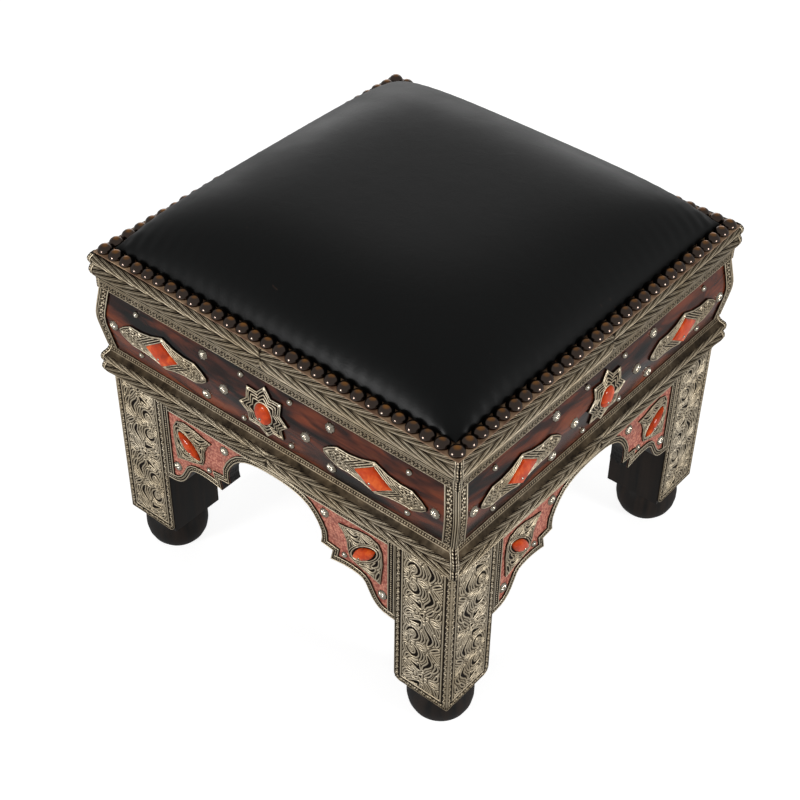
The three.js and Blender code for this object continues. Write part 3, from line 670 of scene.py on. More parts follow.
class KursiSizes(bpy.types.PropertyGroup):
    """Sizes of the stool's ornament."""

    reed_pitch: bpy.props.FloatProperty(
        name="Reed pitch", description="Length of moulding taken by one herringbone reed",
        default=15 * MM, min=8 * MM, max=30 * MM, unit="LENGTH")
    reed_angle: bpy.props.FloatProperty(
        name="Reed angle", description="Slope of a reed against the moulding",
        default=math.radians(16), min=math.radians(10), max=math.radians(45), subtype="ANGLE")
    reed_relief: bpy.props.FloatProperty(
        name="Reed relief", description="Height of a reed over its groove",
        default=1.1 * MM, min=0, max=2 * MM, unit="LENGTH")
    leg_relief: bpy.props.FloatProperty(
        name="Leg relief", description="Height of the embossing on the legs",
        default=0.8 * MM, min=0, max=2 * MM, unit="LENGTH")
    plaque_relief: bpy.props.FloatProperty(
        name="Plaque relief", description="Height of the embossing on the plaques",
        default=0.8 * MM, min=0, max=2 * MM, unit="LENGTH")
    nail_diameter: bpy.props.FloatProperty(
        name="Seat nail diameter", description="Width of a domed seat nail",
        default=13.6 * MM, min=8 * MM, max=14 * MM, unit="LENGTH")
    nails_per_side: bpy.props.IntProperty(
        name="Seat nails per side", description="Nails from one corner to the next",
        default=28, min=8, max=40)
    seat_puckers: bpy.props.FloatProperty(
        name="Seat puckers", description="Depth of the leather's pull at each nail",
        default=0.8 * MM, min=0, max=3 * MM, unit="LENGTH")


PALETTE = {
    "leather": "#080909", "leather_scuff": "#33261f", "hem": "#a88c6e", "hem_dark": "#634531",
    "nickel": "#c2b7a3", "nickel_shade": "#918673", "nickel_warm": "#d8c8a4",
    "tarnish": "#4c4235", "patina": "#15110e",
    "veneer": "#5f2c19", "veneer_light": "#7a3c22", "veneer_mid": "#3b1e16",
    "veneer_dark": "#0e0d0c", "veneer_shade": "#302524",
    "rose": "#8a4235", "rose_light": "#cb866f", "rose_shade": "#6e3e32",
    "black_wood": "#0b0a09", "black_wood_worn": "#261e19", "pine": "#a5845c",
    "pine_dark": "#76583a", "bronze": "#946434", "bronze_dark": "#4c423c",
    "silver": "#b3ada1", "gem": "#b83b0b", "gem_dark": "#8f2a06", "gem_light": "#d65f20",
}
for colour_name, colour_hex in PALETTE.items():
    KursiColours.__annotations__[colour_name] = bpy.props.FloatVectorProperty(
        name=colour_name.replace("_", " ").capitalize(),
        description="Colour of the " + colour_name.replace("_", " "),
        subtype="COLOR", size=3, min=0, max=1, default=linear(colour_hex))


class KURSI_OT_stage(bpy.types.Operator):
    """Lays the floor and sets the lamps and the camera"""

    bl_idname = "kursi.stage"
    bl_label = "Stage"

    def execute(self, context):
        deselect()
        scene = context.scene
        scene.view_settings.view_transform = "Standard"
        bpy.ops.mesh.primitive_plane_add(size=8)
        floor = context.object
        floor.name = "floor"
        bpy.ops.object.mode_set(mode="EDIT")
        bpy.ops.mesh.subdivide(number_cuts=3)
        bpy.ops.object.mode_set(mode="OBJECT")
        material = bpy.data.materials.new("white_paper")
        material.use_nodes = True
        tree = material.node_tree
        paper = tree.nodes["Principled BSDF"]
        fill(paper, {"Base Color": grey(0.45), "Roughness": 0.9, "Specular IOR Level": 0.0})
        glow = add_node(tree, "ShaderNodeEmission", {"Color": grey(1.0), "Strength": 0.8})
        white = add_node(tree, "ShaderNodeMixShader", {0: self.seen(tree), 2: glow})
        both = add_node(tree, "ShaderNodeAddShader", {0: paper, 1: white})
        fill(tree.nodes["Material Output"], {"Surface": both})
        floor.data.materials.append(material)
        self.hang_world(scene)
        self.hang_lamps()
        self.set_camera(scene)
        return {"FINISHED"}

    @staticmethod
    def seen(tree):
        """How much of the white paper a ray finds: all for the eye, a part in a reflection."""
        rays = add_node(tree, "ShaderNodeLightPath").outputs
        mirrored = add_node(tree, "ShaderNodeMath", {
            0: rays["Is Glossy Ray"], 1: rays["Is Transmission Ray"]}, operation="MAXIMUM")
        return add_node(tree, "ShaderNodeMath", {0: mirrored, 1: 0.3, 2: rays["Is Camera Ray"]},
                        operation="MULTIPLY_ADD")

    def hang_world(self, scene):
        world = bpy.data.worlds.new("studio")
        scene.world = world
        world.use_nodes = True
        tree = world.node_tree
        tree.nodes.clear()
        room, paper = (add_node(tree, "ShaderNodeBackground", {
            "Color": grey(1.0), "Strength": strength}) for strength in (0.28, 1.0))
        both = add_node(tree, "ShaderNodeMixShader", {0: self.seen(tree), 1: room, 2: paper})
        add_node(tree, "ShaderNodeOutputWorld", {"Surface": both})

    def hang_lamps(self):
        """Two low lamps for the metal, three soft ones; the two over it leave no mirror image."""
        lamps = (
            ("lamp_left", (-0.45, -1.75, 0.42), 0.4, 0.4, 17.5),
            ("lamp_right", (1.75, 0.15, 0.42), 0.4, 0.4, 16.5),
            ("lamp_front", (1.15, -1.4, 1.5), 0.7, 0.7, 8.6),
            ("lamp_over", (-0.2, 0.4, 2.1), 1.3, 1.3, 7.4),
            ("lamp_behind", (-1.3, 1.7, 0.7), 2.2, 0.9, 8.0),
        )
        for name, place, width, height, power in lamps:
            light = bpy.data.lights.new(name, "AREA")
            light.shape = "RECTANGLE"
            light.size, light.size_y, light.energy = width, height, power
            lamp = bpy.data.objects.new(name, light)
            bpy.context.scene.collection.objects.link(lamp)
            lamp.location = place
            lamp.visible_glossy = name not in ("lamp_front", "lamp_over")
            aim = Vector((0, 0, 0.22)) - Vector(place)
            lamp.rotation_euler = aim.to_track_quat("-Z", "Y").to_euler()

    def set_camera(self, scene):
        """The photograph's view, as it was fitted to points of the stool."""
        azimuth, elevation, roll = map(math.radians, (39.265, 40.601, 0.807))
        aim, distance = Vector((-7.94, -15.21, 162.13)) * MM, 1472.47 * MM
        data = bpy.data.cameras.new("camera")
        data.sensor_width, data.lens = 36.0, 71.606
        data.clip_start, data.clip_end = 0.05, 50.0
        camera = bpy.data.objects.new("camera", data)
        scene.collection.objects.link(camera)
        turn = (Matrix.Rotation(azimuth, 4, "Z")
                @ Matrix.Rotation(math.pi / 2 - elevation, 4, "X")
                @ Matrix.Rotation(roll, 4, "Z"))
        camera.matrix_world = Matrix.Translation(aim) @ turn @ Matrix.Translation(
            (0, 0, distance))
        scene.camera = camera


class KURSI_OT_finishes(bpy.types.Operator):
    """Makes the materials and gives the carried-over pieces theirs"""

    bl_idname = "kursi.finishes"
    bl_label = "Finishes"

    def execute(self, context):
        colours = context.scene.kursi_colours
        nickel_silver(colours, "embossed_nickel_silver", None)
        nickel_silver(colours, "flat_nickel_silver", 0.42)
        for quarter, side in enumerate(SIDES):
            veneer(colours, "rosewood_veneer_" + side, quarter)
        stippled_paint(colours)
        seat_leather(colours)
        aged_bronze(colours)
        plain_finishes(colours)
        for name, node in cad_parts.items():
            finish = self.finish_of(name)
            node.data.materials.clear()
            node.data.materials.append(bpy.data.materials[finish])
        return {"FINISHED"}

    @staticmethod
    def finish_of(name):
        """Finish of a CAD node, by the ending of its name."""
        side = name.split("_")[0]
        endings = (
            ("frieze_board", "rosewood_veneer_" + side), ("apron_board", "stippled_rose_paint"),
            ("post", "black_painted_wood"), ("foot", "black_turned_foot"),
            ("seat_board", "raw_pine"), ("seat_padding", "raw_pine"),
            ("leather_cover", "black_waxed_leather"), ("nailed_hem", "hem_leather"),
        )
        for ending, finish in endings:
            if name.endswith(ending):
                return finish
        return "flat_nickel_silver"


def moulded_rows(runs, bottom, height, steps):
    """Rows up a moulding's face: out, z, run number, share of the run."""
    rows = []
    points = [(FACE + out * BEAD_OUT, bottom + up * height) for out, up, swell in runs]
    for i in range(1, len(points)):
        (x0, z0), (x1, z1) = points[i - 1], points[i]
        swell = runs[i][2] * BEAD_OUT
        length = math.hypot(x1 - x0, z1 - z0)
        nx, nz = (z1 - z0) / length, (x0 - x1) / length
        for step in range(0 if i == 1 else 1, steps[i - 1] + 1):
            t = step / steps[i - 1]
            lift = swell * math.sin(math.pi * t)
            rows.append((x0 + (x1 - x0) * t + nx * lift, z0 + (z1 - z0) * t + nz * lift, i, t))
    return rows


LOWER_ROWS = moulded_rows(LOWER_RUNS, MOULDING_BOTTOM, MOULDING_TOP - MOULDING_BOTTOM,
                          (2, 8, 7, 14))
RIM_ROWS = moulded_rows(RIM_RUNS, LIP_BOTTOM, RIM_TOP - LIP_BOTTOM, (14, 8, 8))
# The runs with herringbone reeds: below and above the notch between them
LOW_BEAD, HIGH_BEAD = 2, 3


class KURSI_OT_mouldings(bpy.types.Operator):
    """Models the two herringbone mouldings of each side"""

    bl_idname = "kursi.mouldings"
    bl_label = "Herringbone mouldings"

    def execute(self, context):
        sizes = context.scene.kursi_sizes
        self.pitch = sizes.reed_pitch / MM
        self.slope = 1 / math.tan(sizes.reed_angle)
        self.relief = sizes.reed_relief / MM
        back = FACE - SHEET
        step = LIP_BOTTOM + 5
        self.moulding("lower_moulding", LOWER_ROWS, self.lower_face,
                      ((back, MOULDING_TOP), (back, MOULDING_BOTTOM)))
        self.moulding("rim_rail", RIM_ROWS, self.rim_face, (
            (RIM_INNER, RIM_TOP), (RIM_INNER, step), (LIP_INNER, step), (LIP_INNER, LIP_BOTTOM)))
        return {"FINISHED"}

    def moulding(self, name, rows, face, backs):
        """Half a moulding, with columns that lean as its reeds do, and its mirror image."""
        out, z, run, share = np.array(rows).T
        arc = arc_lengths(np.stack([out, z], -1))
        on_low, on_high = np.flatnonzero(run == LOW_BEAD), np.flatnonzero(run == HIGH_BEAD)
        low, notch, high = arc[on_low[0] - 1], arc[on_low[-1]], arc[on_high[-1]]
        width = np.abs(np.clip(arc, low, high) - notch)
        tangent = np.stack([np.gradient(out), np.gradient(z)])
        tangent /= np.hypot(*tangent)
        normal = np.pad(np.stack([tangent[1], -tangent[0]]), ((0, 0), (0, len(backs))))
        out, z = np.append(np.stack([out, z]), np.transpose(backs), 1)
        width = np.append(width, [width[-1]] * len(backs))
        starts = np.arange(-self.slope * width.max(), FACE + 9, self.pitch / 22)
        limit = (out - GAP / math.sqrt(2))[:, None]
        along = np.clip(starts + self.slope * width[:, None], 0, limit)
        lift, relief = np.zeros_like(along), np.full_like(along, 0.35)
        front = slice(len(rows))
        near = along[front]
        reed_lift, reed_relief = self.reeds(near - self.slope * width[front, None], near)
        edge = np.min([np.abs(arc - place) for place in (low, notch, high)], 0)
        edge = np.clip(edge / 1.6, 0, 1)[:, None]
        face_lift, face_relief = face(near, run[:, None], share[:, None])
        on_bead = ((run == LOW_BEAD) | (run == HIGH_BEAD))[:, None]
        lift[front] = np.where(on_bead, reed_lift * (0.25 + 0.75 * edge), face_lift)
        # Painted shade: the beads are coloured darker towards the notch between them and towards
        # their upper and lower ends
        relief[front] = np.where(on_bead, reed_relief * (0.35 + 0.65 * edge), face_relief)
        # The relief runs out towards the mitre and the middle
        lift *= np.clip((limit - along) / 2.5, 0, 1) * np.minimum(1, 0.3 + along / 2.5)
        px, pz = np.stack([out, z])[..., None] + normal[..., None] * lift
        half = np.stack([along, -px, pz], -1).reshape(-1, 3)
        columns, count = len(starts), len(half)
        keep = []
        for i in range(len(out)):
            k = (i + 1) % len(out)
            for j in range(columns - 1):
                past_mitre = along[i, j] >= limit[i, 0] and along[k, j] >= limit[k, 0]
                if not past_mitre and max(along[i, j + 1], along[k, j + 1]) > 0:
                    a, b = i * columns + j, k * columns + j
                    keep.append((a, a + 1, b + 1, b))
        faces = keep + [tuple(count + v for v in reversed(quad)) for quad in keep]
        piece = make_object(name, np.concatenate([half, half * (-1, 1, 1)]), faces,
                            np.tile(relief.ravel(), 2))
        self.close_ends(piece)
        round_all(piece, name + "_reeded", "clad_moulding", replaced=named(SIDES, name))

    def reeds(self, origin, along):
        """Lift and brightness of the reeds: bundles of three strands, the gaps between them
        painted dark as patina and painted shade.
        """
        wander = 0.6 * np.sin(along / 31.0) + 0.35 * np.sin(along / 11.7 + 1.0)
        place = ((origin + wander) / self.pitch) % 1
        lift = np.full(origin.shape, -0.75)
        for middle, width, height in ((0.17, 0.25, 0.75), (0.45, 0.26, 1.0), (0.73, 0.24, 0.8)):
            strand = ridge(place - middle, width)
            lift = np.maximum(lift, -0.75 + (0.75 + 0.35 * height) * strand * height)
        relief = (lift + 0.75) / 1.1
        return lift * self.relief, 0.85 * relief ** 1.3

    def lower_face(self, along, run, share):
        """Fillet under the beads, then the smooth cove and the dotted strip over it."""
        q = (share - 0.5) * 11.0
        border = 0.7 * ridge(q - 0.5, 1.0) + 0.7 * ridge(q - 4.9, 1.0)
        beads = 0.8 * dotted(along, q - 2.7, 2.6, 1.7)
        strip = np.clip(border + beads, 0, 1)
        on_strip = (run == 4) & (share > 0.5)
        lift = np.where(on_strip, 0.45 * strip, 0.0)
        smooth = 0.22 + 0.08 * np.sin(along / 9.0) * np.sin(along / 23.0)
        return lift, np.where(on_strip, 0.15 + 0.65 * strip, smooth)

    def rim_face(self, along, run, share):
        """Strip of fine leafwork between raised lines at the foot of the rim."""
        q = share * 12.5
        leaves = foliage(along, q) * inside(np.abs(q - 4.6) - 2.9, 0.4)
        strip = np.clip(highest(ridge(q - 0.7, 1.3), ridge(q - 8.6, 1.2), ridge(q - 10.8, 1.3),
                                0.85 * leaves), 0, 1)
        return 0.6 * strip, 0.95 * strip

    @staticmethod
    def close_ends(piece):
        """Joins the halves and fills the flat ends, which meet the next side's at the mitre."""
        work = bmesh.new()
        work.from_mesh(piece.data)
        bmesh.ops.remove_doubles(work, verts=work.verts, dist=2e-6)
        bmesh.ops.dissolve_degenerate(work, edges=work.edges, dist=1e-6)
        loose = [v for v in work.verts if not v.link_faces]
        bmesh.ops.delete(work, geom=loose, context="VERTS")
        open_edges = [e for e in work.edges if e.is_boundary]
        bmesh.ops.holes_fill(work, edges=open_edges, sides=0)
        bmesh.ops.recalc_face_normals(work, faces=work.faces)
        work.to_mesh(piece.data)
        work.free()
        for polygon in piece.data.polygons:
            if len(polygon.vertices) > 8:
                polygon.use_smooth = False


class KURSI_OT_seat(bpy.types.Operator):
    """Models the padded leather seat and the hem of leather under its nails"""

    bl_idname = "kursi.seat"
    bl_label = "Leather seat"

    def execute(self, context):
        deselect()
        bpy.ops.mesh.primitive_grid_add(x_subdivisions=90, y_subdivisions=90, size=2)
        seat = context.object
        seat.name = seat.data.name = "leather_seat"
        bpy.ops.object.mode_set(mode="EDIT")
        work = bmesh.from_edit_mesh(seat.data)
        for vertex in work.verts:
            u, v = (math.sin(math.pi / 2 * share) for share in vertex.co.xy)
            crown = ((1 - u ** 6) * (1 - v ** 6)) ** 0.5
            vertex.co = Vector((u * SEAT_HALF, v * SEAT_HALF,
                                SEAT_BASE + SEAT_EDGE
                                + (SEAT_TOP - SEAT_BASE - SEAT_EDGE) * crown)) * MM
        for edge in work.edges:
            edge.select_set(edge.is_boundary)
        bmesh.update_edit_mesh(seat.data)
        bpy.ops.mesh.select_mode(type="EDGE")
        shrink = (SEAT_HALF - 2) / SEAT_HALF
        bpy.ops.mesh.extrude_region_move(
            TRANSFORM_OT_translate={"value": (0, 0, -SEAT_EDGE * MM)})
        bpy.ops.transform.resize(value=(shrink, shrink, 1))
        bpy.ops.object.mode_set(mode="OBJECT")
        self.draw_tight(seat)
        bpy.ops.object.modifier_add(type="SUBSURF")
        bpy.ops.object.modifier_apply(modifier=seat.modifiers[0].name)
        bpy.ops.object.mode_set(mode="EDIT")
        bpy.ops.mesh.select_all(action="DESELECT")
        bpy.ops.mesh.select_non_manifold()
        bpy.ops.mesh.edge_face_add()
        bpy.ops.mesh.select_all(action="SELECT")
        bpy.ops.mesh.normals_make_consistent(inside=False)
        bpy.ops.object.mode_set(mode="OBJECT")
        self.pucker(seat, context.scene.kursi_sizes)
        bpy.ops.object.shade_smooth()
        settle(seat, "seat_leather", "black_waxed_leather", "leather_cover", "seat_padding")
        self.hem()
        return {"FINISHED"}

    @staticmethod
    def draw_tight(seat):
        """Fills the seat with air like a cushion, its foot held all round by the nails."""
        mesh, count = seat.data, len(seat.data.vertices) * 3
        before, after = np.empty(count), np.empty(count)
        mesh.vertices.foreach_get("co", before)
        held = seat.vertex_groups.new(name="held")
        foot = (SEAT_BASE + SEAT_EDGE + 0.2) * MM
        held.add([v.index for v in mesh.vertices if v.co.z < foot], 1.0, "REPLACE")
        modifier = seat.modifiers.new("filling", "CLOTH")
        modifier.settings.use_pressure = True
        modifier.settings.uniform_pressure_force = FILLING_PRESSURE
        modifier.settings.effector_weights.gravity = 0.0
        modifier.settings.vertex_group_mass = "held"
        for number in range(1, FILLING_FRAMES + 1):
            bpy.context.scene.frame_set(number)
        bpy.ops.object.modifier_apply(modifier=modifier.name)
        bpy.context.scene.frame_set(1)
        mesh.vertices.foreach_get("co", after)
        move = (after - before).reshape(-1, 3)
        length = np.linalg.norm(move, axis=1, keepdims=True)
        move *= np.minimum(1, SEAT_SWELL * MM / np.maximum(length, 1e-9))
        # Thick leather takes the swell without the sharp creases of a thin sheet
        links = np.empty(len(mesh.edges) * 2, dtype=np.int32)
        mesh.edges.foreach_get("vertices", links)
        first, second = links.reshape(-1, 2).T
        neighbours = np.bincount(links, minlength=len(move))[:, None]
        nailed = before.reshape(-1, 3)[:, 2] < foot
        for _ in range(SWELL_PASSES):
            pull = np.zeros_like(move)
            np.add.at(pull, first, move[second])
            np.add.at(pull, second, move[first])
            move = pull / neighbours
            move[nailed] = 0
        points = before.reshape(-1, 3) + move
        base, top = (SEAT_BASE + SEAT_EDGE) * MM, points[:, 2].max()
        above = points[:, 2] > base
        points[above, 2] = base + (points[above, 2] - base) * (SEAT_TOP * MM - base) / (top - base)
        mesh.vertices.foreach_set("co", points.ravel())
        mesh.update()
        seat.vertex_groups.clear()

    @staticmethod
    def pucker(seat, sizes):
        """Draws the leather in at each nail, near the corners most."""
        depth = sizes.seat_puckers / MM
        pitch = 2 * NAIL_ROW / sizes.nails_per_side
        count = len(seat.data.vertices)
        points = np.empty(count * 3)
        seat.data.vertices.foreach_get("co", points)
        points = points.reshape(-1, 3) / MM
        x, y, z = points.T
        for along, across in ((x, y), (y, x)):
            edge = SEAT_HALF - np.abs(across)
            near = np.clip(edge, 0, None) / 6.0
            reach = near * np.exp(1 - near)
            strength = 0.45 + 0.9 * (np.abs(along) / SEAT_HALF) ** 6
            wave = 0.5 + 0.5 * np.cos(2 * math.pi * along / pitch)
            z -= depth * reach * strength * wave * (z > SEAT_BASE + SEAT_EDGE + 0.5)
        x, y = skewed(x, y)
        seat.data.vertices.foreach_set("co", (np.stack([x, y, z], -1) * MM).ravel())
        seat.data.update()

    @staticmethod
    def hem():
        """Flat hem that the nails hold, a little wider than they are."""
        deselect()
        bpy.ops.mesh.primitive_plane_add(size=2 * (NAIL_ROW + HEM_REACH) * MM,
                                         location=(0, 0, SEAT_BASE * MM))
        hem = bpy.context.object
        hem.name = hem.data.name = "leather_hem"
        bpy.ops.object.mode_set(mode="EDIT")
        bpy.ops.mesh.select_all(action="SELECT")
        bpy.ops.mesh.inset(thickness=HEM_WIDTH * MM)
        bpy.ops.mesh.delete(type="FACE")
        bpy.ops.mesh.select_all(action="SELECT")
        bpy.ops.mesh.subdivide(number_cuts=5)
        bpy.ops.mesh.extrude_region_move(
            TRANSFORM_OT_translate={"value": (0, 0, HEM_THICK * MM)})
        bpy.ops.mesh.select_all(action="SELECT")
        bpy.ops.mesh.normals_make_consistent(inside=False)
        bpy.ops.object.mode_set(mode="OBJECT")
        set_down(hem)
        for vertex in hem.data.vertices:
            x, y = skewed(vertex.co.x / MM, vertex.co.y / MM)
            vertex.co.xy = x * MM, y * MM
        settle(hem, "seat_leather", "hem_leather")


class KURSI_OT_seat_nails(bpy.types.Operator):
    """Sets the row of domed nails round the seat"""

    bl_idname = "kursi.seat_nails"
    bl_label = "Seat nails"

    def execute(self, context):
        sizes = context.scene.kursi_sizes
        radius = sizes.nail_diameter / MM / 2
        rise = NAIL_TOP - SEAT_BASE - 0.6
        levels = [(radius * 0.96, 0), (radius, 0.12 * rise)]
        for degrees in (18, 35, 50, 63, 75, 84):
            angle = math.radians(degrees)
            levels.append((radius * math.cos(angle), rise * (0.12 + 0.88 * math.sin(angle))))
        nail = drawn_up("nail", 20, levels)
        pitch = 2 * NAIL_ROW / sizes.nails_per_side
        drift = np.random.default_rng(7)
        for quarter, side in enumerate(SIDES):
            turn = Matrix.Rotation(math.pi / 2 * quarter, 3, "Z")
            places = []
            for i in range(sizes.nails_per_side):
                wander = NAIL_WANDER * min(1, i)
                along = -NAIL_ROW + i * pitch + drift.normal(0, wander)
                start = turn @ Vector((along, -NAIL_ROW + drift.normal(0, wander), 0))
                x, y = skewed(start.x, start.y)
                tilt = Matrix.Rotation(drift.normal(0, NAIL_TILT), 4, "X")
                tilt = tilt @ Matrix.Rotation(drift.normal(0, NAIL_TILT), 4, "Y")
                place = Vector((x, y, SEAT_BASE + 0.7)) * MM
                places.append(Matrix.Translation(place) @ tilt)
            row = spread(nail, side + "_seat_nails", places)
            settle(row, "bronze_nails", "aged_bronze_nail", "nailed_hem")
        bpy.data.objects.remove(nail)
        return {"FINISHED"}


class KURSI_OT_feet(bpy.types.Operator):
    """Turns the four bun feet"""

    bl_idname = "kursi.feet"
    bl_label = "Turned feet"

    def execute(self, context):
        low, high = span("front_right_foot")
        height = high[2] - low[2]
        radius = (high[0] - low[0]) / 2
        levels = [(16.5, 0), (18, 0.7), (21.5, 4.2), (25.6, 9.0), (28.4, 15.0), (radius, 22.0),
                  (radius, 29.0), (28.7, 34.5), (27.6, 38.6), (26.2, 40.8), (24.4, height)]
        foot = drawn_up("foot", 48, levels)
        foot.data.transform(Matrix.Translation(Vector((FOOT_AXIS, -FOOT_AXIS, low[2])) * MM))
        round_all(foot, "turned_foot", "black_foot", "black_turned_foot", CORNERS,
                  named(CORNERS, "foot"))
        return {"FINISHED"}


# Half of the legs' leafwork between two mirror lines: dark hollows as (x, y, radius)
LEAFWORK = (
    ((6, 13.6, .3), (10.5, 11.8, 1.3), (14.5, 10.2, 2.0), (16.6, 8.8, 1.0), (15.6, 14.6, .8)),
    ((20.6, 10.4, .4), (22, 14.5, 1.0), (25.4, 18.6, 1.5), (28, 23.5, 1.8), (26.5, 28.5, 1.4),
     (25, 31.8, .6)),
    ((2.4, 29, .5), (4.4, 24.6, 1.1), (8.6, 22, 1.5), (12.4, 23.6, 1.6), (13.8, 27.5, 1.4),
     (12.2, 31.8, .9), (8.6, 34.8, .3)),
    ((28.5, 37, .3), (32, 33.5, .9), (36.4, 29.8, .5)),
    ((17.6, .0, 1.4), (19.6, 2.4, .3)),
    ((33, 6, .3), (35, 9, .9), (35.9, 13, .4)),
    ((1.8, 14.5, .3), (3.2, 18.4, .8), (6.4, 19.8, .3)),
    ((1.4, 6.8, .3), (4, 3.6, .8), (9, 2.4, .3)),
    ((28, 1.5, .3), (32, 2.8, .8), (36.4, 1.2, .3)),
    ((31.8, 15.4, .3), (33.6, 18.6, .8), (35.2, 22.6, .9), (34.0, 26.4, .3)),
    ((17.8, 20.2, .3), (19.6, 24, .7), (20.2, 29, .8), (18.2, 33.5, .3)),
    ((13.8, 37.2, .4), (18.5, 35.6, .6), (22.6, 37.6, .3)),
    ((9.4, 6.0, .3), (12.6, 5.4, .6), (14.6, 3.8, .3)),
    ((23.6, 4.2, .3), (26.8, 7.8, .8), (29.6, 12.6, .3)),
)
LEAF_CELL = 38.4


def leafwork(x, y):
    """Lift of the leg panel's leafwork, 0 to 1, over its own width of 38 mm."""
    cell = np.floor(y / LEAF_CELL)
    v = y - cell * LEAF_CELL
    v = np.where(cell % 2 == 1, LEAF_CELL - v, v)
    hollows = [spline(stroke, 4 * (len(stroke) - 1)) for stroke in LEAFWORK]
    away = stroke_distance(x, v, hollows)
    knob = np.hypot(x - 7.4, v - 28.6)
    away = np.minimum(away, np.where(knob < 4.2, 99, away))
    veins = 0.5 + 0.5 * np.cos(2 * math.pi * (away - 0.65) / 2.4)
    raised = np.clip(0.08 + 1.5 * veins, 0, 1)
    raised = np.where(knob < 3.4, 0.4 + 0.6 * ridge(knob - 2.3, 1.6) + 0.6 * ridge(knob, 1.6),
                      raised)
    return raised * (1 - inside(away + 0.2, 0.45))


class KURSI_OT_leg_panels(bpy.types.Operator):
    """Embosses the metal sheet on the faces of the legs"""

    bl_idname = "kursi.leg_panels"
    bl_label = "Embossed legs"

    def execute(self, context):
        relief = context.scene.kursi_sizes.leg_relief / MM
        for (number, mirror, corners), phase in zip(ENDS, (127.0, 142.2)):
            name = f"leg_panel_{number}"
            round_all(self.panel_of(name, mirror, phase, relief), name, "embossed_sheet",
                      replaced=named(corners, "leg_cladding"))
        self.corner_beads()
        return {"FINISHED"}

    @staticmethod
    def panel_of(name, mirror, phase, relief):
        """Panel of one leg face, with its inner corner rounded at the foot.

        A plain bead, leafwork under a row of dots and a plain line frame the tall field."""
        width = FACE - LEG_INNER
        top = MOULDING_BOTTOM - GAP
        rounding, step = 8.0, 0.52
        rows = np.linspace(LEG_BOTTOM, top, round((top - LEG_BOTTOM) / step))
        shares = np.linspace(0, 1, round(width / step))
        dip = np.clip(LEG_BOTTOM + rounding - rows, 0, rounding)
        shorten = rounding - np.sqrt(rounding ** 2 - dip ** 2)
        local = shorten[:, None] + shares * (width - shorten)[:, None]
        z = np.repeat(rows[:, None], len(shares), 1)
        low = z - LEG_BOTTOM
        outer = width - local + 0.6
        edge = frame_edge = np.minimum(np.minimum(local, outer), low)
        turn = rounding - np.hypot(rounding - local, rounding - low)
        edge = np.where((local < rounding) & (low < rounding), turn, edge)
        along_edge = np.where(low < np.minimum(local, outer), local, z)
        lift = highest(0.8 * ridge(edge - 0.4, 0.9),
                       foliage(along_edge, edge) * inside(np.abs(edge - 3.4) - 1.6, 0.3),
                       0.8 * dotted(along_edge, edge - 3.4, 2.6, 1.9))
        lift = np.where(frame_edge > 6.3, ridge(frame_edge - 7.6, 1.8), lift)
        field = leafwork(local - 11.0, phase - z + 20 * LEAF_CELL)
        lift = np.where(frame_edge > 9.3, field, lift)
        return end_panel(name, mirror, LEG_INNER + local, z, FACE + relief * lift, lift, SHEET)

    @staticmethod
    def corner_beads():
        """Plain half-round bead down the outer edge of each leg."""
        deselect()
        reach = FACE - 0.3
        bpy.ops.mesh.primitive_cylinder_add(
            vertices=16, radius=0.9 * MM, depth=(MOULDING_BOTTOM - LEG_BOTTOM - 5) * MM,
            location=Vector((reach, -reach, (MOULDING_BOTTOM + LEG_BOTTOM + 4) / 2)) * MM)
        bead = bpy.context.object
        bpy.ops.object.mode_set(mode="EDIT")
        bpy.ops.mesh.select_all(action="SELECT")
        bpy.ops.mesh.bevel(offset=0.4 * MM, segments=2)
        bpy.ops.object.mode_set(mode="OBJECT")
        set_down(bead)
        bpy.ops.object.shade_smooth_by_angle(angle=math.radians(40))
        layer = bead.data.attributes.new("relief", "FLOAT", "POINT")
        layer.data.foreach_set("value", [0.75] * len(bead.data.vertices))
        round_all(bead, "leg_bead", "embossed_sheet", places=CORNERS)


def arch_edge():
    """Half of the arch on the front side, from the leg to the middle, in small steps."""
    def placed(pairs):
        return [(a * APRON_HALF, ARCH_SPRING + b * ARCH_RISE) for a, b in pairs]

    skirt, shoulder = spline(placed(ARCH_SKIRT), 14), spline(placed(ARCH_SHOULDER), 10)
    corners = [*skirt, placed([ARCH_NOTCH])[0], *shoulder]
    run = []
    for a, b in zip(corners, corners[1:]):
        count = max(1, round(math.dist(a, b) / 0.7))
        run += [np.array(a) + (np.array(b) - np.array(a)) * i / count for i in range(count)]
    run.append(np.array(corners[-1]))
    return np.array(run), np.array(corners)


def inset_edge(points, width):
    """Moves the arch's edge into the apron by a width, with mitred corners."""
    steps = np.diff(points, axis=0)
    normals = np.stack([steps[:, 1], -steps[:, 0]], -1) / np.hypot(*steps.T)[:, None]
    before = np.concatenate([normals[:1], normals])
    after = np.concatenate([normals, normals[-1:]])
    reach = width / (1 + (before * after).sum(1))
    return points + (before + after) * reach[:, None]


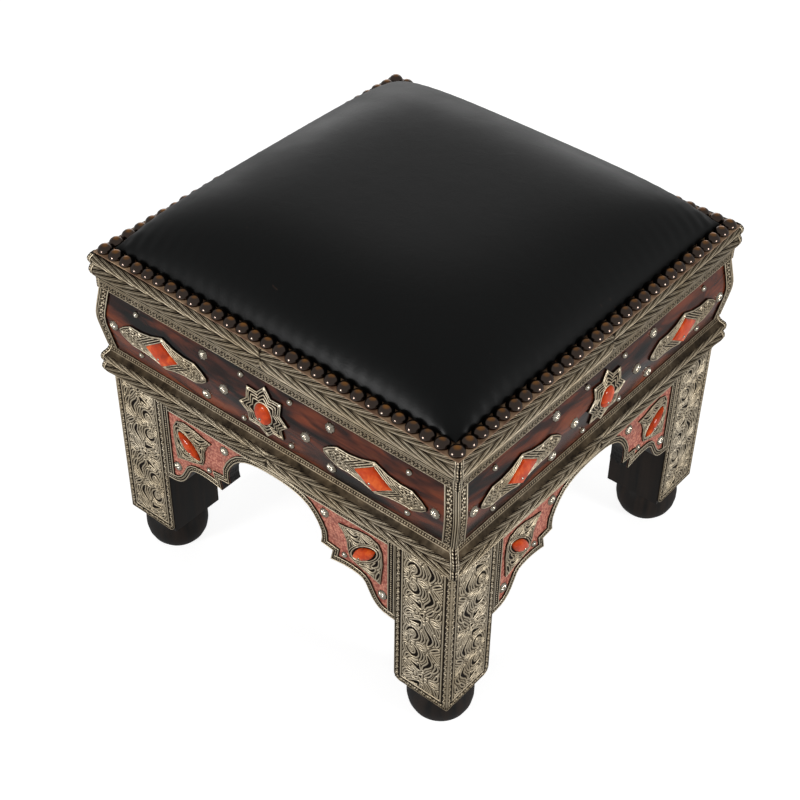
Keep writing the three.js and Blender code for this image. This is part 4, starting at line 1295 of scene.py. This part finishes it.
class KURSI_OT_apron_trims(bpy.types.Operator):
    """Embosses the metal bands round the arch, beside the legs and under the moulding"""

    bl_idname = "kursi.apron_trims"
    bl_label = "Apron trims"

    def execute(self, context):
        self.relief = context.scene.kursi_sizes.leg_relief / MM
        self.arch_band()
        self.leg_strips()
        self.head_strip()
        return {"FINISHED"}

    @staticmethod
    def banded(along, q, width):
        """Two raised lines with a dotted channel between them."""
        return highest(ridge(q - 0.85, 1.5), ridge(q - width + 0.85, 1.5),
                       0.9 * dotted(along, q - width / 2, 2.5, 2.0))

    def arch_band(self):
        run, corners = arch_edge()
        width = 6.5
        inner = inset_edge(corners, width)
        places = arc_lengths(run)
        inner_run = np.stack([np.interp(places, arc_lengths(corners), inner[:, k])
                              for k in (0, 1)], -1)
        inner_run[np.abs(run[:, 0]) < 1e-6, 0] = 0
        shares = np.linspace(0, 1, 13)
        right = run + shares[:, None, None] * (inner_run - run)
        whole = np.concatenate([right, (right * (-1, 1))[:, -2::-1]], 1)[:, ::-1]
        distance = np.concatenate([places, 2 * places[-1] - places[-2::-1]])
        lift = self.banded(distance, shares[:, None] * width, width)
        out = FACE + 0.12 + self.relief * 0.8 * lift
        round_all(self.strip("arch_band", whole, out, lift), "arch_band", "embossed_sheet")

    @staticmethod
    def strip(name, points, out, relief):
        """Closed embossed band along any run: rows go across it, columns along it."""
        rows, columns = out.shape
        front = on_side(points[..., 0], points[..., 1], out).reshape(-1, 3)
        back = on_side(points[[0, -1], :, 0], points[[0, -1], :, 1],
                       np.full((2, columns), FACE - 0.5)).reshape(-1, 3)
        first = rows * columns
        faces = grid_quads(rows, columns)
        for j in range(columns - 1):
            low, high, top = first + j, first + columns + j, (rows - 1) * columns + j
            faces.append((low, high, high + 1, low + 1))
            faces.append((j, low, low + 1, j + 1))
            faces.append((top, top + 1, high + 1, high))
        for j, turn in ((0, 1), (columns - 1, -1)):
            loop = [i * columns + j for i in range(rows)] + [first + columns + j, first + j]
            faces.append(tuple(loop[::turn]))
        made = make_object(name, np.concatenate([front, back]), faces,
                           np.concatenate([relief.ravel(), np.zeros(2 * columns)]))
        return recalculate(made)

    def leg_strips(self):
        low, high = ARCH_SPRING + 5.5, MOULDING_BOTTOM - GAP
        local, z = np.meshgrid(np.linspace(0, LEG_STRIP, 15),
                               np.linspace(low, high, round((high - low) / 0.6)))
        lift = self.banded(z, local, LEG_STRIP)
        for number, mirror, _ in ENDS:
            name = f"leg_strip_{number}"
            piece = end_panel(name, mirror, APRON_HALF - LEG_STRIP + local, z,
                              FACE + 0.16 + self.relief * 0.8 * lift, lift, 0.6)
            round_all(piece, name, "embossed_sheet")

    def head_strip(self):
        half = APRON_HALF - 8.2
        along, q = np.meshgrid(np.linspace(-half, half, round(2 * half / 0.65)),
                               np.linspace(0, HEAD_STRIP, 9))
        z = MOULDING_BOTTOM - GAP - HEAD_STRIP + q
        lift = highest(ridge(q - 0.8, 1.4), 0.7 * dotted(along, q - 2.9, 2.4, 1.9))
        piece = panel("head_strip", along, z, FACE + 0.14 + self.relief * 0.7 * lift, lift, 0.6)
        round_all(piece, "head_strip", "embossed_sheet")


class KURSI_OT_frieze_strips(bpy.types.Operator):
    """Embosses the metal strips at the frieze's corners"""

    bl_idname = "kursi.frieze_strips"
    bl_label = "Frieze corner strips"

    def execute(self, context):
        relief = context.scene.kursi_sizes.plaque_relief / MM
        width = 12.5
        share, z = np.meshgrid(np.linspace(0, 1, 24),
                               np.linspace(FRIEZE_BOTTOM + 0.2, FRIEZE_TOP - 0.2, 118))
        face = frieze_out(z) + GAP + SHEET
        q = share * width
        leaves = foliage(z, q) * inside(np.abs(q - 5.3) - 2.7, 0.4)
        lift = highest(ridge(q - 0.9, 1.7), ridge(q - 11.6, 1.5), 0.8 * ridge(q - 9.5, 1.3),
                       0.9 * leaves)
        for number, mirror, corners in ENDS:
            name = f"corner_band_{number}"
            piece = end_panel(name, mirror, face - width + q, z, face + relief * lift, lift,
                              SHEET)
            round_all(piece, name, "embossed_sheet", replaced=named(corners, "frieze_strip"))
        return {"FINISHED"}


Z_STAR = FRIEZE_BOTTOM + 0.45 * (FRIEZE_TOP - FRIEZE_BOTTOM)
STAR_TIP, STAR_VALLEY = 27.5, 20.5
Z_LOZENGE = FRIEZE_BOTTOM + 0.445 * (FRIEZE_TOP - FRIEZE_BOTTOM)
X_LOZENGE = 0.607 * FRIEZE_EDGE
LOZENGE_HALF = (53.0, 17.5)
LOZENGE_BALLS = ((0, 14.6), (48.6, 0), (38.0, 8.4), (27.0, 8.2))
DIAMOND_HALF = (19.0, 12.6)
# How far the lowest parts of the star and the lozenges stand off the frieze
PLAQUE_OUT = GAP + SHEET + 0.06


def beads_at(x, y, centres, radius):
    """Round beads at the given places."""
    reach = np.min([np.hypot(x - cx, y - cy) for cx, cy in centres], 0)
    return np.sqrt(1 - np.clip(reach / radius, 0, 1) ** 2)


def star_lines(share, along, z):
    """Echoes of the star's outline, a bezel round the gem and a ball in each point."""
    up = z - Z_STAR
    reach, angle = np.hypot(along, up), np.arctan2(up, along)
    wave = np.abs((angle / math.pi * 8) % 2 - 1)
    echoes = [ridge(reach - least - swing * wave, 1.3)
              for least, swing in ((12.1, 3.2), (14.5, 4.4), (16.9, 5.9))]
    bezel = 10.3 * (np.hypot(along / 9.7, up / 11.1) - 1)
    lift = highest(*echoes, ridge(bezel, 1.4), ridge((share - 0.965) * 24, 1.6))
    turns = [math.pi / 4 * i for i in range(8)]
    balls = beads_at(along, up, [(24.3 * math.cos(turn), 24.3 * math.sin(turn))
                                 for turn in turns], 1.7)
    lift = np.where(balls > 0, 0.3 + 1.3 * balls, lift)
    return lift, PLAQUE_OUT + 0.8 * lift


def lozenge_outline():
    """Outline about its own middle, made of four mirrored quarters."""
    quarter = [(a * LOZENGE_HALF[0], b * LOZENGE_HALF[1]) for a, b in LOZENGE_QUARTER]
    upper = quarter + [(-x, y) for x, y in quarter[-2::-1]]
    return upper + [(x, -y) for x, y in upper[::-1]]


def lozenge_lines(share, along, z):
    """Echoes of the diamond gem inside, leafwork towards the tips and a beaded edge."""
    x, y = along - X_LOZENGE, z - Z_LOZENGE
    ring = [(px, py, 0.0) for px, py in lozenge_outline()]
    edge = stroke_distance(x, y, [ring + ring[:1]])
    wide, tall = DIAMOND_HALF
    away = (np.abs(x) / wide + np.abs(y) / tall - 1) * wide * tall / math.hypot(wide, tall)
    in_tips = away > 8.2
    echoes = highest(*(ridge(away - place, 1.25) for place in (0.7, 2.9, 5.1, 7.3)))
    lift = np.where(in_tips, foliage(x, y) * inside(3.2 - edge, 0.4),
                    echoes * inside(1.9 - edge, 0.3))
    lift = highest(lift, ridge(edge - 0.75, 1.5),
                   np.where(in_tips, 0.8 * ridge(edge - 2.9, 1.1), 0))
    balls = beads_at(x, y, [(sx * px, sy * py) for px, py in LOZENGE_BALLS
                            for sx in (-1, 1) for sy in (-1, 1)], 1.6)
    lift = np.where(balls > 0, 0.3 + 1.2 * balls, lift)
    return lift, PLAQUE_OUT + 0.8 * lift


def leaf_place():
    """The leaf plaque's outline and the middle of its gem, at a side's right end."""
    outer = APRON_HALF - LEG_STRIP - 5
    top = MOULDING_BOTTOM - HEAD_STRIP - 3.5
    points = [(outer + (a - 1) * LEAF_SIZE[0], top + (b - 1) * LEAF_SIZE[1])
              for a, b in (*LEAF_OUTLINE, LEAF_GEM)]
    return points[:-1], points[-1]


LEAF_TILT = math.radians(40)
# Dark curls of the leaf plaque about its gem, as (x, y, radius)
LEAF_CURLS = (
    ((-20, 17, .4), (-14, 13.5, 1.1), (-9, 13.5, .8), (-6.5, 17, .3)),
    ((-15, 5, .3), (-13.5, -2, 1.0), (-14, -8, .3)),
    ((-3, 18, .3), (4, 14, 1.3), (10, 15.5, .3)),
    ((13, 20, .3), (15.5, 15, 1.0), (16, 9, .3)),
    ((9, -9, .3), (13.5, -3.5, 1.2), (14.5, 3, .4)),
    ((2, -14, .3), (8, -14.5, 1.1), (11.5, -10.5, .4)),
    ((13.5, -21, .3), (15, -16.5, 1.0), (16.5, -12, .3)),
    ((-10, -9.5, .3), (-4, -13.5, 1.1), (0, -12, .3)),
    ((-13, 9.5, .3), (-8.5, 8.5, .9), (-5, 10.5, .3)),
)


def leaf_lines(share, along, z):
    """Curled leaves with echoes round them, and a double bezel round the gem."""
    cx, cz = leaf_place()[1]
    x, y = along - cx, z - cz
    away = stroke_distance(x, y, [spline(curl, 8) for curl in LEAF_CURLS])
    u = x * math.cos(LEAF_TILT) + y * math.sin(LEAF_TILT)
    v = -x * math.sin(LEAF_TILT) + y * math.cos(LEAF_TILT)
    bezel = np.hypot(u / 16.4, v / 6.9) - 1
    echo = 0.5 + 0.5 * np.cos(2 * math.pi * (away - 0.8) / 2.2)
    lift = (0.2 + 0.8 * echo) * (1 - inside(away, 0.5))
    lift = np.where(bezel < 0.42,
                    highest(ridge(bezel * 9 - 0.6, 1.3), ridge(bezel * 9 - 2.7, 1.1)), lift)
    lift = np.where(share > 0.93, ridge((share - 0.98) * 26, 1.4), lift)
    return lift, 0.08 + 0.9 * lift


class KURSI_OT_plaques(bpy.types.Operator):
    """Embosses the star, lozenge and leaf plaques"""

    bl_idname = "kursi.plaques"
    bl_label = "Plaques"

    def execute(self, context):
        star = []
        for i in range(16):
            radius = STAR_VALLEY if i % 2 else STAR_TIP
            angle = math.pi * i / 8
            star.append((radius * math.cos(angle), Z_STAR + radius * math.sin(angle)))
        self.plaque("star", (0, Z_STAR), star, 0.8, star_lines)
        lozenge = [(X_LOZENGE + x, Z_LOZENGE + y) for x, y in lozenge_outline()]
        leaf, gem = leaf_place()
        for number, mirror, _ in ENDS:
            self.plaque("lozenge", (X_LOZENGE, Z_LOZENGE), lozenge, 0.8, lozenge_lines,
                        f"_{number}", mirror)
        for number, mirror, _ in ENDS:
            self.plaque("leaf", gem, leaf, 0.7, leaf_lines, f"_{number}", mirror, apron_out,
                        SHEET)
        return {"FINISHED"}

    @staticmethod
    def plaque(kind, centre, outline, step, lines, number="", mirror=1, place=frieze_out,
               depth=-GAP):
        """One plaque, bent to the frieze unless it is given another place, on all sides."""
        piece = disc(kind, centre, divided(outline, step), 40, place, lines, depth)
        if mirror < 0:
            piece.data.transform(Matrix.Diagonal((-1, 1, 1, 1)))
        round_all(recalculate(piece), f"{kind}_relief{number}", "gem_plaque",
                  replaced=named(SIDES, f"{kind}_plaque{number}"))


class KURSI_OT_gems(bpy.types.Operator):
    """Sets the glass gems on their plaques, each with its silver pin"""

    bl_idname = "kursi.gems"
    bl_label = "Gems"

    def execute(self, context):
        pin = drawn_up("pin", 10, [(1.5, -1.2), (1.5, 0.2), (1.1, 0.8), (0.5, 1.05)])
        ridge_out = FRIEZE_EDGE + FRIEZE_BULGE + GAP + SHEET
        oval = drawn_up("oval", 32, [(1, -1.5), (1, 0.9), (0.93, 1.9), (0.76, 2.6), (0.5, 2.95),
                                     (0.2, 3.0)], (9.0, 10.4))
        self.gem(oval, "star_gem", standing(0, Z_STAR, ridge_out))
        diamond = drawn_up("diamond", 4, [(1, -2.5), (1, 0.7), (0.9, 1.9), (0.62, 2.6),
                                          (0.3, 3.0)], DIAMOND_HALF)
        marquise = self.marquise()
        cx, cz = leaf_place()[1]
        for number, mirror, _ in ENDS:
            self.gem(diamond, f"lozenge_gem_{number}",
                     standing(mirror * X_LOZENGE, Z_LOZENGE, ridge_out), keep=mirror < 0)
        for number, mirror, _ in ENDS:
            self.gem(marquise, f"leaf_gem_{number}",
                     standing(mirror * cx, cz, FACE, mirror * LEAF_TILT),
                     keep=mirror < 0)
        pins = [standing(-1.5, Z_STAR - 4.5, ridge_out + 2.7)]
        for mirror in (-1, 1):
            pins.append(standing(mirror * X_LOZENGE - 2.5, Z_LOZENGE - 4.5, ridge_out + 2.4))
            pins.append(standing(mirror * (cx - 3.2), cz - 5.0, FACE + 3.3))
        row = spread(pin, "front_gem_pins", pins)
        bpy.data.objects.remove(pin)
        round_all(row, "gem_pins", "gem_plaque", "silvered_nail")
        return {"FINISHED"}

    @staticmethod
    def gem(shape, name, place, keep=False):
        """Sets one gem, and keeps its shape where another gem needs it."""
        piece = spread(shape, name, [place])
        if not keep:
            bpy.data.objects.remove(shape)
        round_all(piece, name, "gem_plaque", "orange_pressed_glass")

    @staticmethod
    def marquise():
        """Pointed oval cabochon: a disc drawn up and squeezed to two arcs."""
        shape = drawn_up("marquise", 36, [(1, -1), (1, 1.0), (0.93, 2.3), (0.78, 3.3),
                                          (0.5, 3.9), (0.2, 4.05)])
        half_length, half_width = 15.6, 5.8
        radius = (half_length ** 2 + half_width ** 2) / (2 * half_width)
        for vertex in shape.data.vertices:
            x, y = vertex.co.x / MM, vertex.co.y / MM
            size = math.hypot(x, y)
            if size < 1e-6:
                continue
            share = x / size
            along = share * half_length
            arc = math.sqrt(radius ** 2 - along ** 2) - radius + half_width
            vertex.co.x = along * size * MM
            vertex.co.y = math.copysign(arc, y) * size * MM if abs(y) > 1e-6 else 0
        return shape


# Places of the small nails on half a side, as (along, height)
FRIEZE_SCALLOPED = ((178, 272), (45.5, 272.5), (70, 295), (70, 252))
FRIEZE_ROUND = ((150, 296), (149, 252.5), (27, 297), (26.5, 250))
APRON_SCALLOPED = ((58, 191.5), (121, 136))
APRON_ROUND = ((79.5, 156),)


class KURSI_OT_small_nails(bpy.types.Operator):
    """Drives the scalloped and the round nails into the frieze and the aprons"""

    bl_idname = "kursi.small_nails"
    bl_label = "Small nails"

    def execute(self, context):
        scalloped = self.scalloped()
        round_nail = drawn_up("round", 14, [(3.1, -0.6), (3.1, 0.3), (2.75, 1.3), (1.9, 2.1),
                                            (0.8, 2.45)])
        for name, shape, on_frieze, on_apron in (
                ("scalloped_nails", scalloped, FRIEZE_SCALLOPED, APRON_SCALLOPED),
                ("round_nails", round_nail, FRIEZE_ROUND, APRON_ROUND)):
            places = []
            for mirror in (-1, 1):
                for along, z in on_frieze:
                    out = float(frieze_out(z))
                    lean = math.atan2(float(frieze_out(z + 1) - frieze_out(z - 1)), 2)
                    places.append(Matrix.Translation(Vector((mirror * along, -out, z)) * MM)
                                  @ Matrix.Rotation(math.pi / 2 + lean, 4, "X"))
                for along, z in on_apron:
                    places.append(standing(mirror * along, z, APRON_FACE))
            row = spread(shape, "front_" + name, places)
            bpy.data.objects.remove(shape)
            round_all(row, name, "gem_plaque", "silvered_nail")
        return {"FINISHED"}

    @staticmethod
    def scalloped():
        """Daisy nail: a shallow dome with ten flutes."""
        nail = drawn_up("scalloped", 40, [(5.2, -0.6), (5.2, 0.4), (4.5, 1.5), (3.4, 2.4),
                                          (2.0, 2.9), (0.8, 3.05)])
        for vertex in nail.data.vertices:
            x, y = vertex.co.x / MM, vertex.co.y / MM
            size = math.hypot(x, y)
            flute = 0.5 + 0.5 * math.cos(10 * math.atan2(y, x))
            shrink = 1 - 0.14 * flute * min(1, size / 4)
            vertex.co.x *= shrink
            vertex.co.y *= shrink
            vertex.co.z -= 0.55 * MM * flute * (size > 1.5) * (vertex.co.z > 0)
        return nail


class KURSI_OT_mitre_strips(bpy.types.Operator):
    """Bends a small beaded strip over each mitre of the mouldings"""

    bl_idname = "kursi.mitre_strips"
    bl_label = "Mitre strips"

    def execute(self, context):
        self.strip("lower_mitre_strip", LOWER_ROWS)
        self.strip("rim_mitre_strip", RIM_ROWS)
        return {"FINISHED"}

    @staticmethod
    def strip(name, rows):
        run = spline([row[:2] for row in rows], 60)
        q = np.linspace(-5, 5, 19)
        beads = dotted(arc_lengths(run)[:, None], np.abs(q) - 1.9, 2.6, 2.4)
        lift = highest(ridge(np.abs(q) - 4.2, 1.4), 0.9 * beads)
        z = np.repeat(run[:, 1:], len(q), 1)
        # Each layer turns the corner: the strip's middle column is on the mitre
        layers = [np.stack([np.where(q <= 0, out + q, out), -np.where(q >= 0, out - q, out), z],
                           -1).reshape(-1, 3)
                  for out in (run[:, :1] + 0.2 + 0.7 * lift, run[:, :1] - 1.2)]
        columns, count = z.shape[1], z.size
        faces = grid_quads(len(run), columns)
        faces += [tuple(count + v for v in reversed(quad)) for quad in faces]
        last = count - columns
        loop = [*range(columns), *range(2 * columns - 1, count, columns),
                *range(count - 2, last - 1, -1), *range(last - columns, 0, -columns)]
        for a, b in zip(loop, loop[1:] + loop[:1]):
            faces.append((b, a, count + a, count + b))
        piece = make_object(name, np.concatenate(layers), faces,
                            np.concatenate([lift.ravel(), np.zeros(count)]))
        round_all(recalculate(piece), name, "clad_moulding", places=CORNERS)


OPERATORS = (
    KURSI_OT_stage, KURSI_OT_finishes, KURSI_OT_mouldings, KURSI_OT_mitre_strips,
    KURSI_OT_leg_panels, KURSI_OT_apron_trims, KURSI_OT_frieze_strips, KURSI_OT_plaques,
    KURSI_OT_gems, KURSI_OT_small_nails, KURSI_OT_feet, KURSI_OT_seat, KURSI_OT_seat_nails,
)


class KURSI_PT_panel(bpy.types.Panel):
    """Sizes, colours and pieces of the stool"""

    bl_idname = "KURSI_PT_panel"
    bl_label = "Kursi stool"
    bl_space_type = "VIEW_3D"
    bl_region_type = "UI"
    bl_category = "Kursi"

    def draw(self, context):
        for group in (context.scene.kursi_sizes, context.scene.kursi_colours):
            box = self.layout.box()
            for name in group.__annotations__:
                box.prop(group, name)
        for operator in OPERATORS:
            self.layout.operator(operator.bl_idname)


CLASSES = (KursiSizes, KursiColours, *OPERATORS, KURSI_PT_panel)


def register():
    for one in CLASSES:
        bpy.utils.register_class(one)
    bpy.types.Scene.kursi_sizes = bpy.props.PointerProperty(type=KursiSizes)
    bpy.types.Scene.kursi_colours = bpy.props.PointerProperty(type=KursiColours)


def unregister():
    del bpy.types.Scene.kursi_colours
    del bpy.types.Scene.kursi_sizes
    for one in reversed(CLASSES):
        bpy.utils.unregister_class(one)


def main():
    register()
    bpy.ops.kursi.stage()
    bpy.ops.kursi.finishes()
    bpy.ops.kursi.mouldings()
    bpy.ops.kursi.mitre_strips()
    bpy.ops.kursi.leg_panels()
    bpy.ops.kursi.apron_trims()
    bpy.ops.kursi.frieze_strips()
    bpy.ops.kursi.plaques()
    bpy.ops.kursi.gems()
    bpy.ops.kursi.small_nails()
    bpy.ops.kursi.feet()
    bpy.ops.kursi.seat()
    bpy.ops.kursi.seat_nails()


if __name__ == "__main__":
    main()
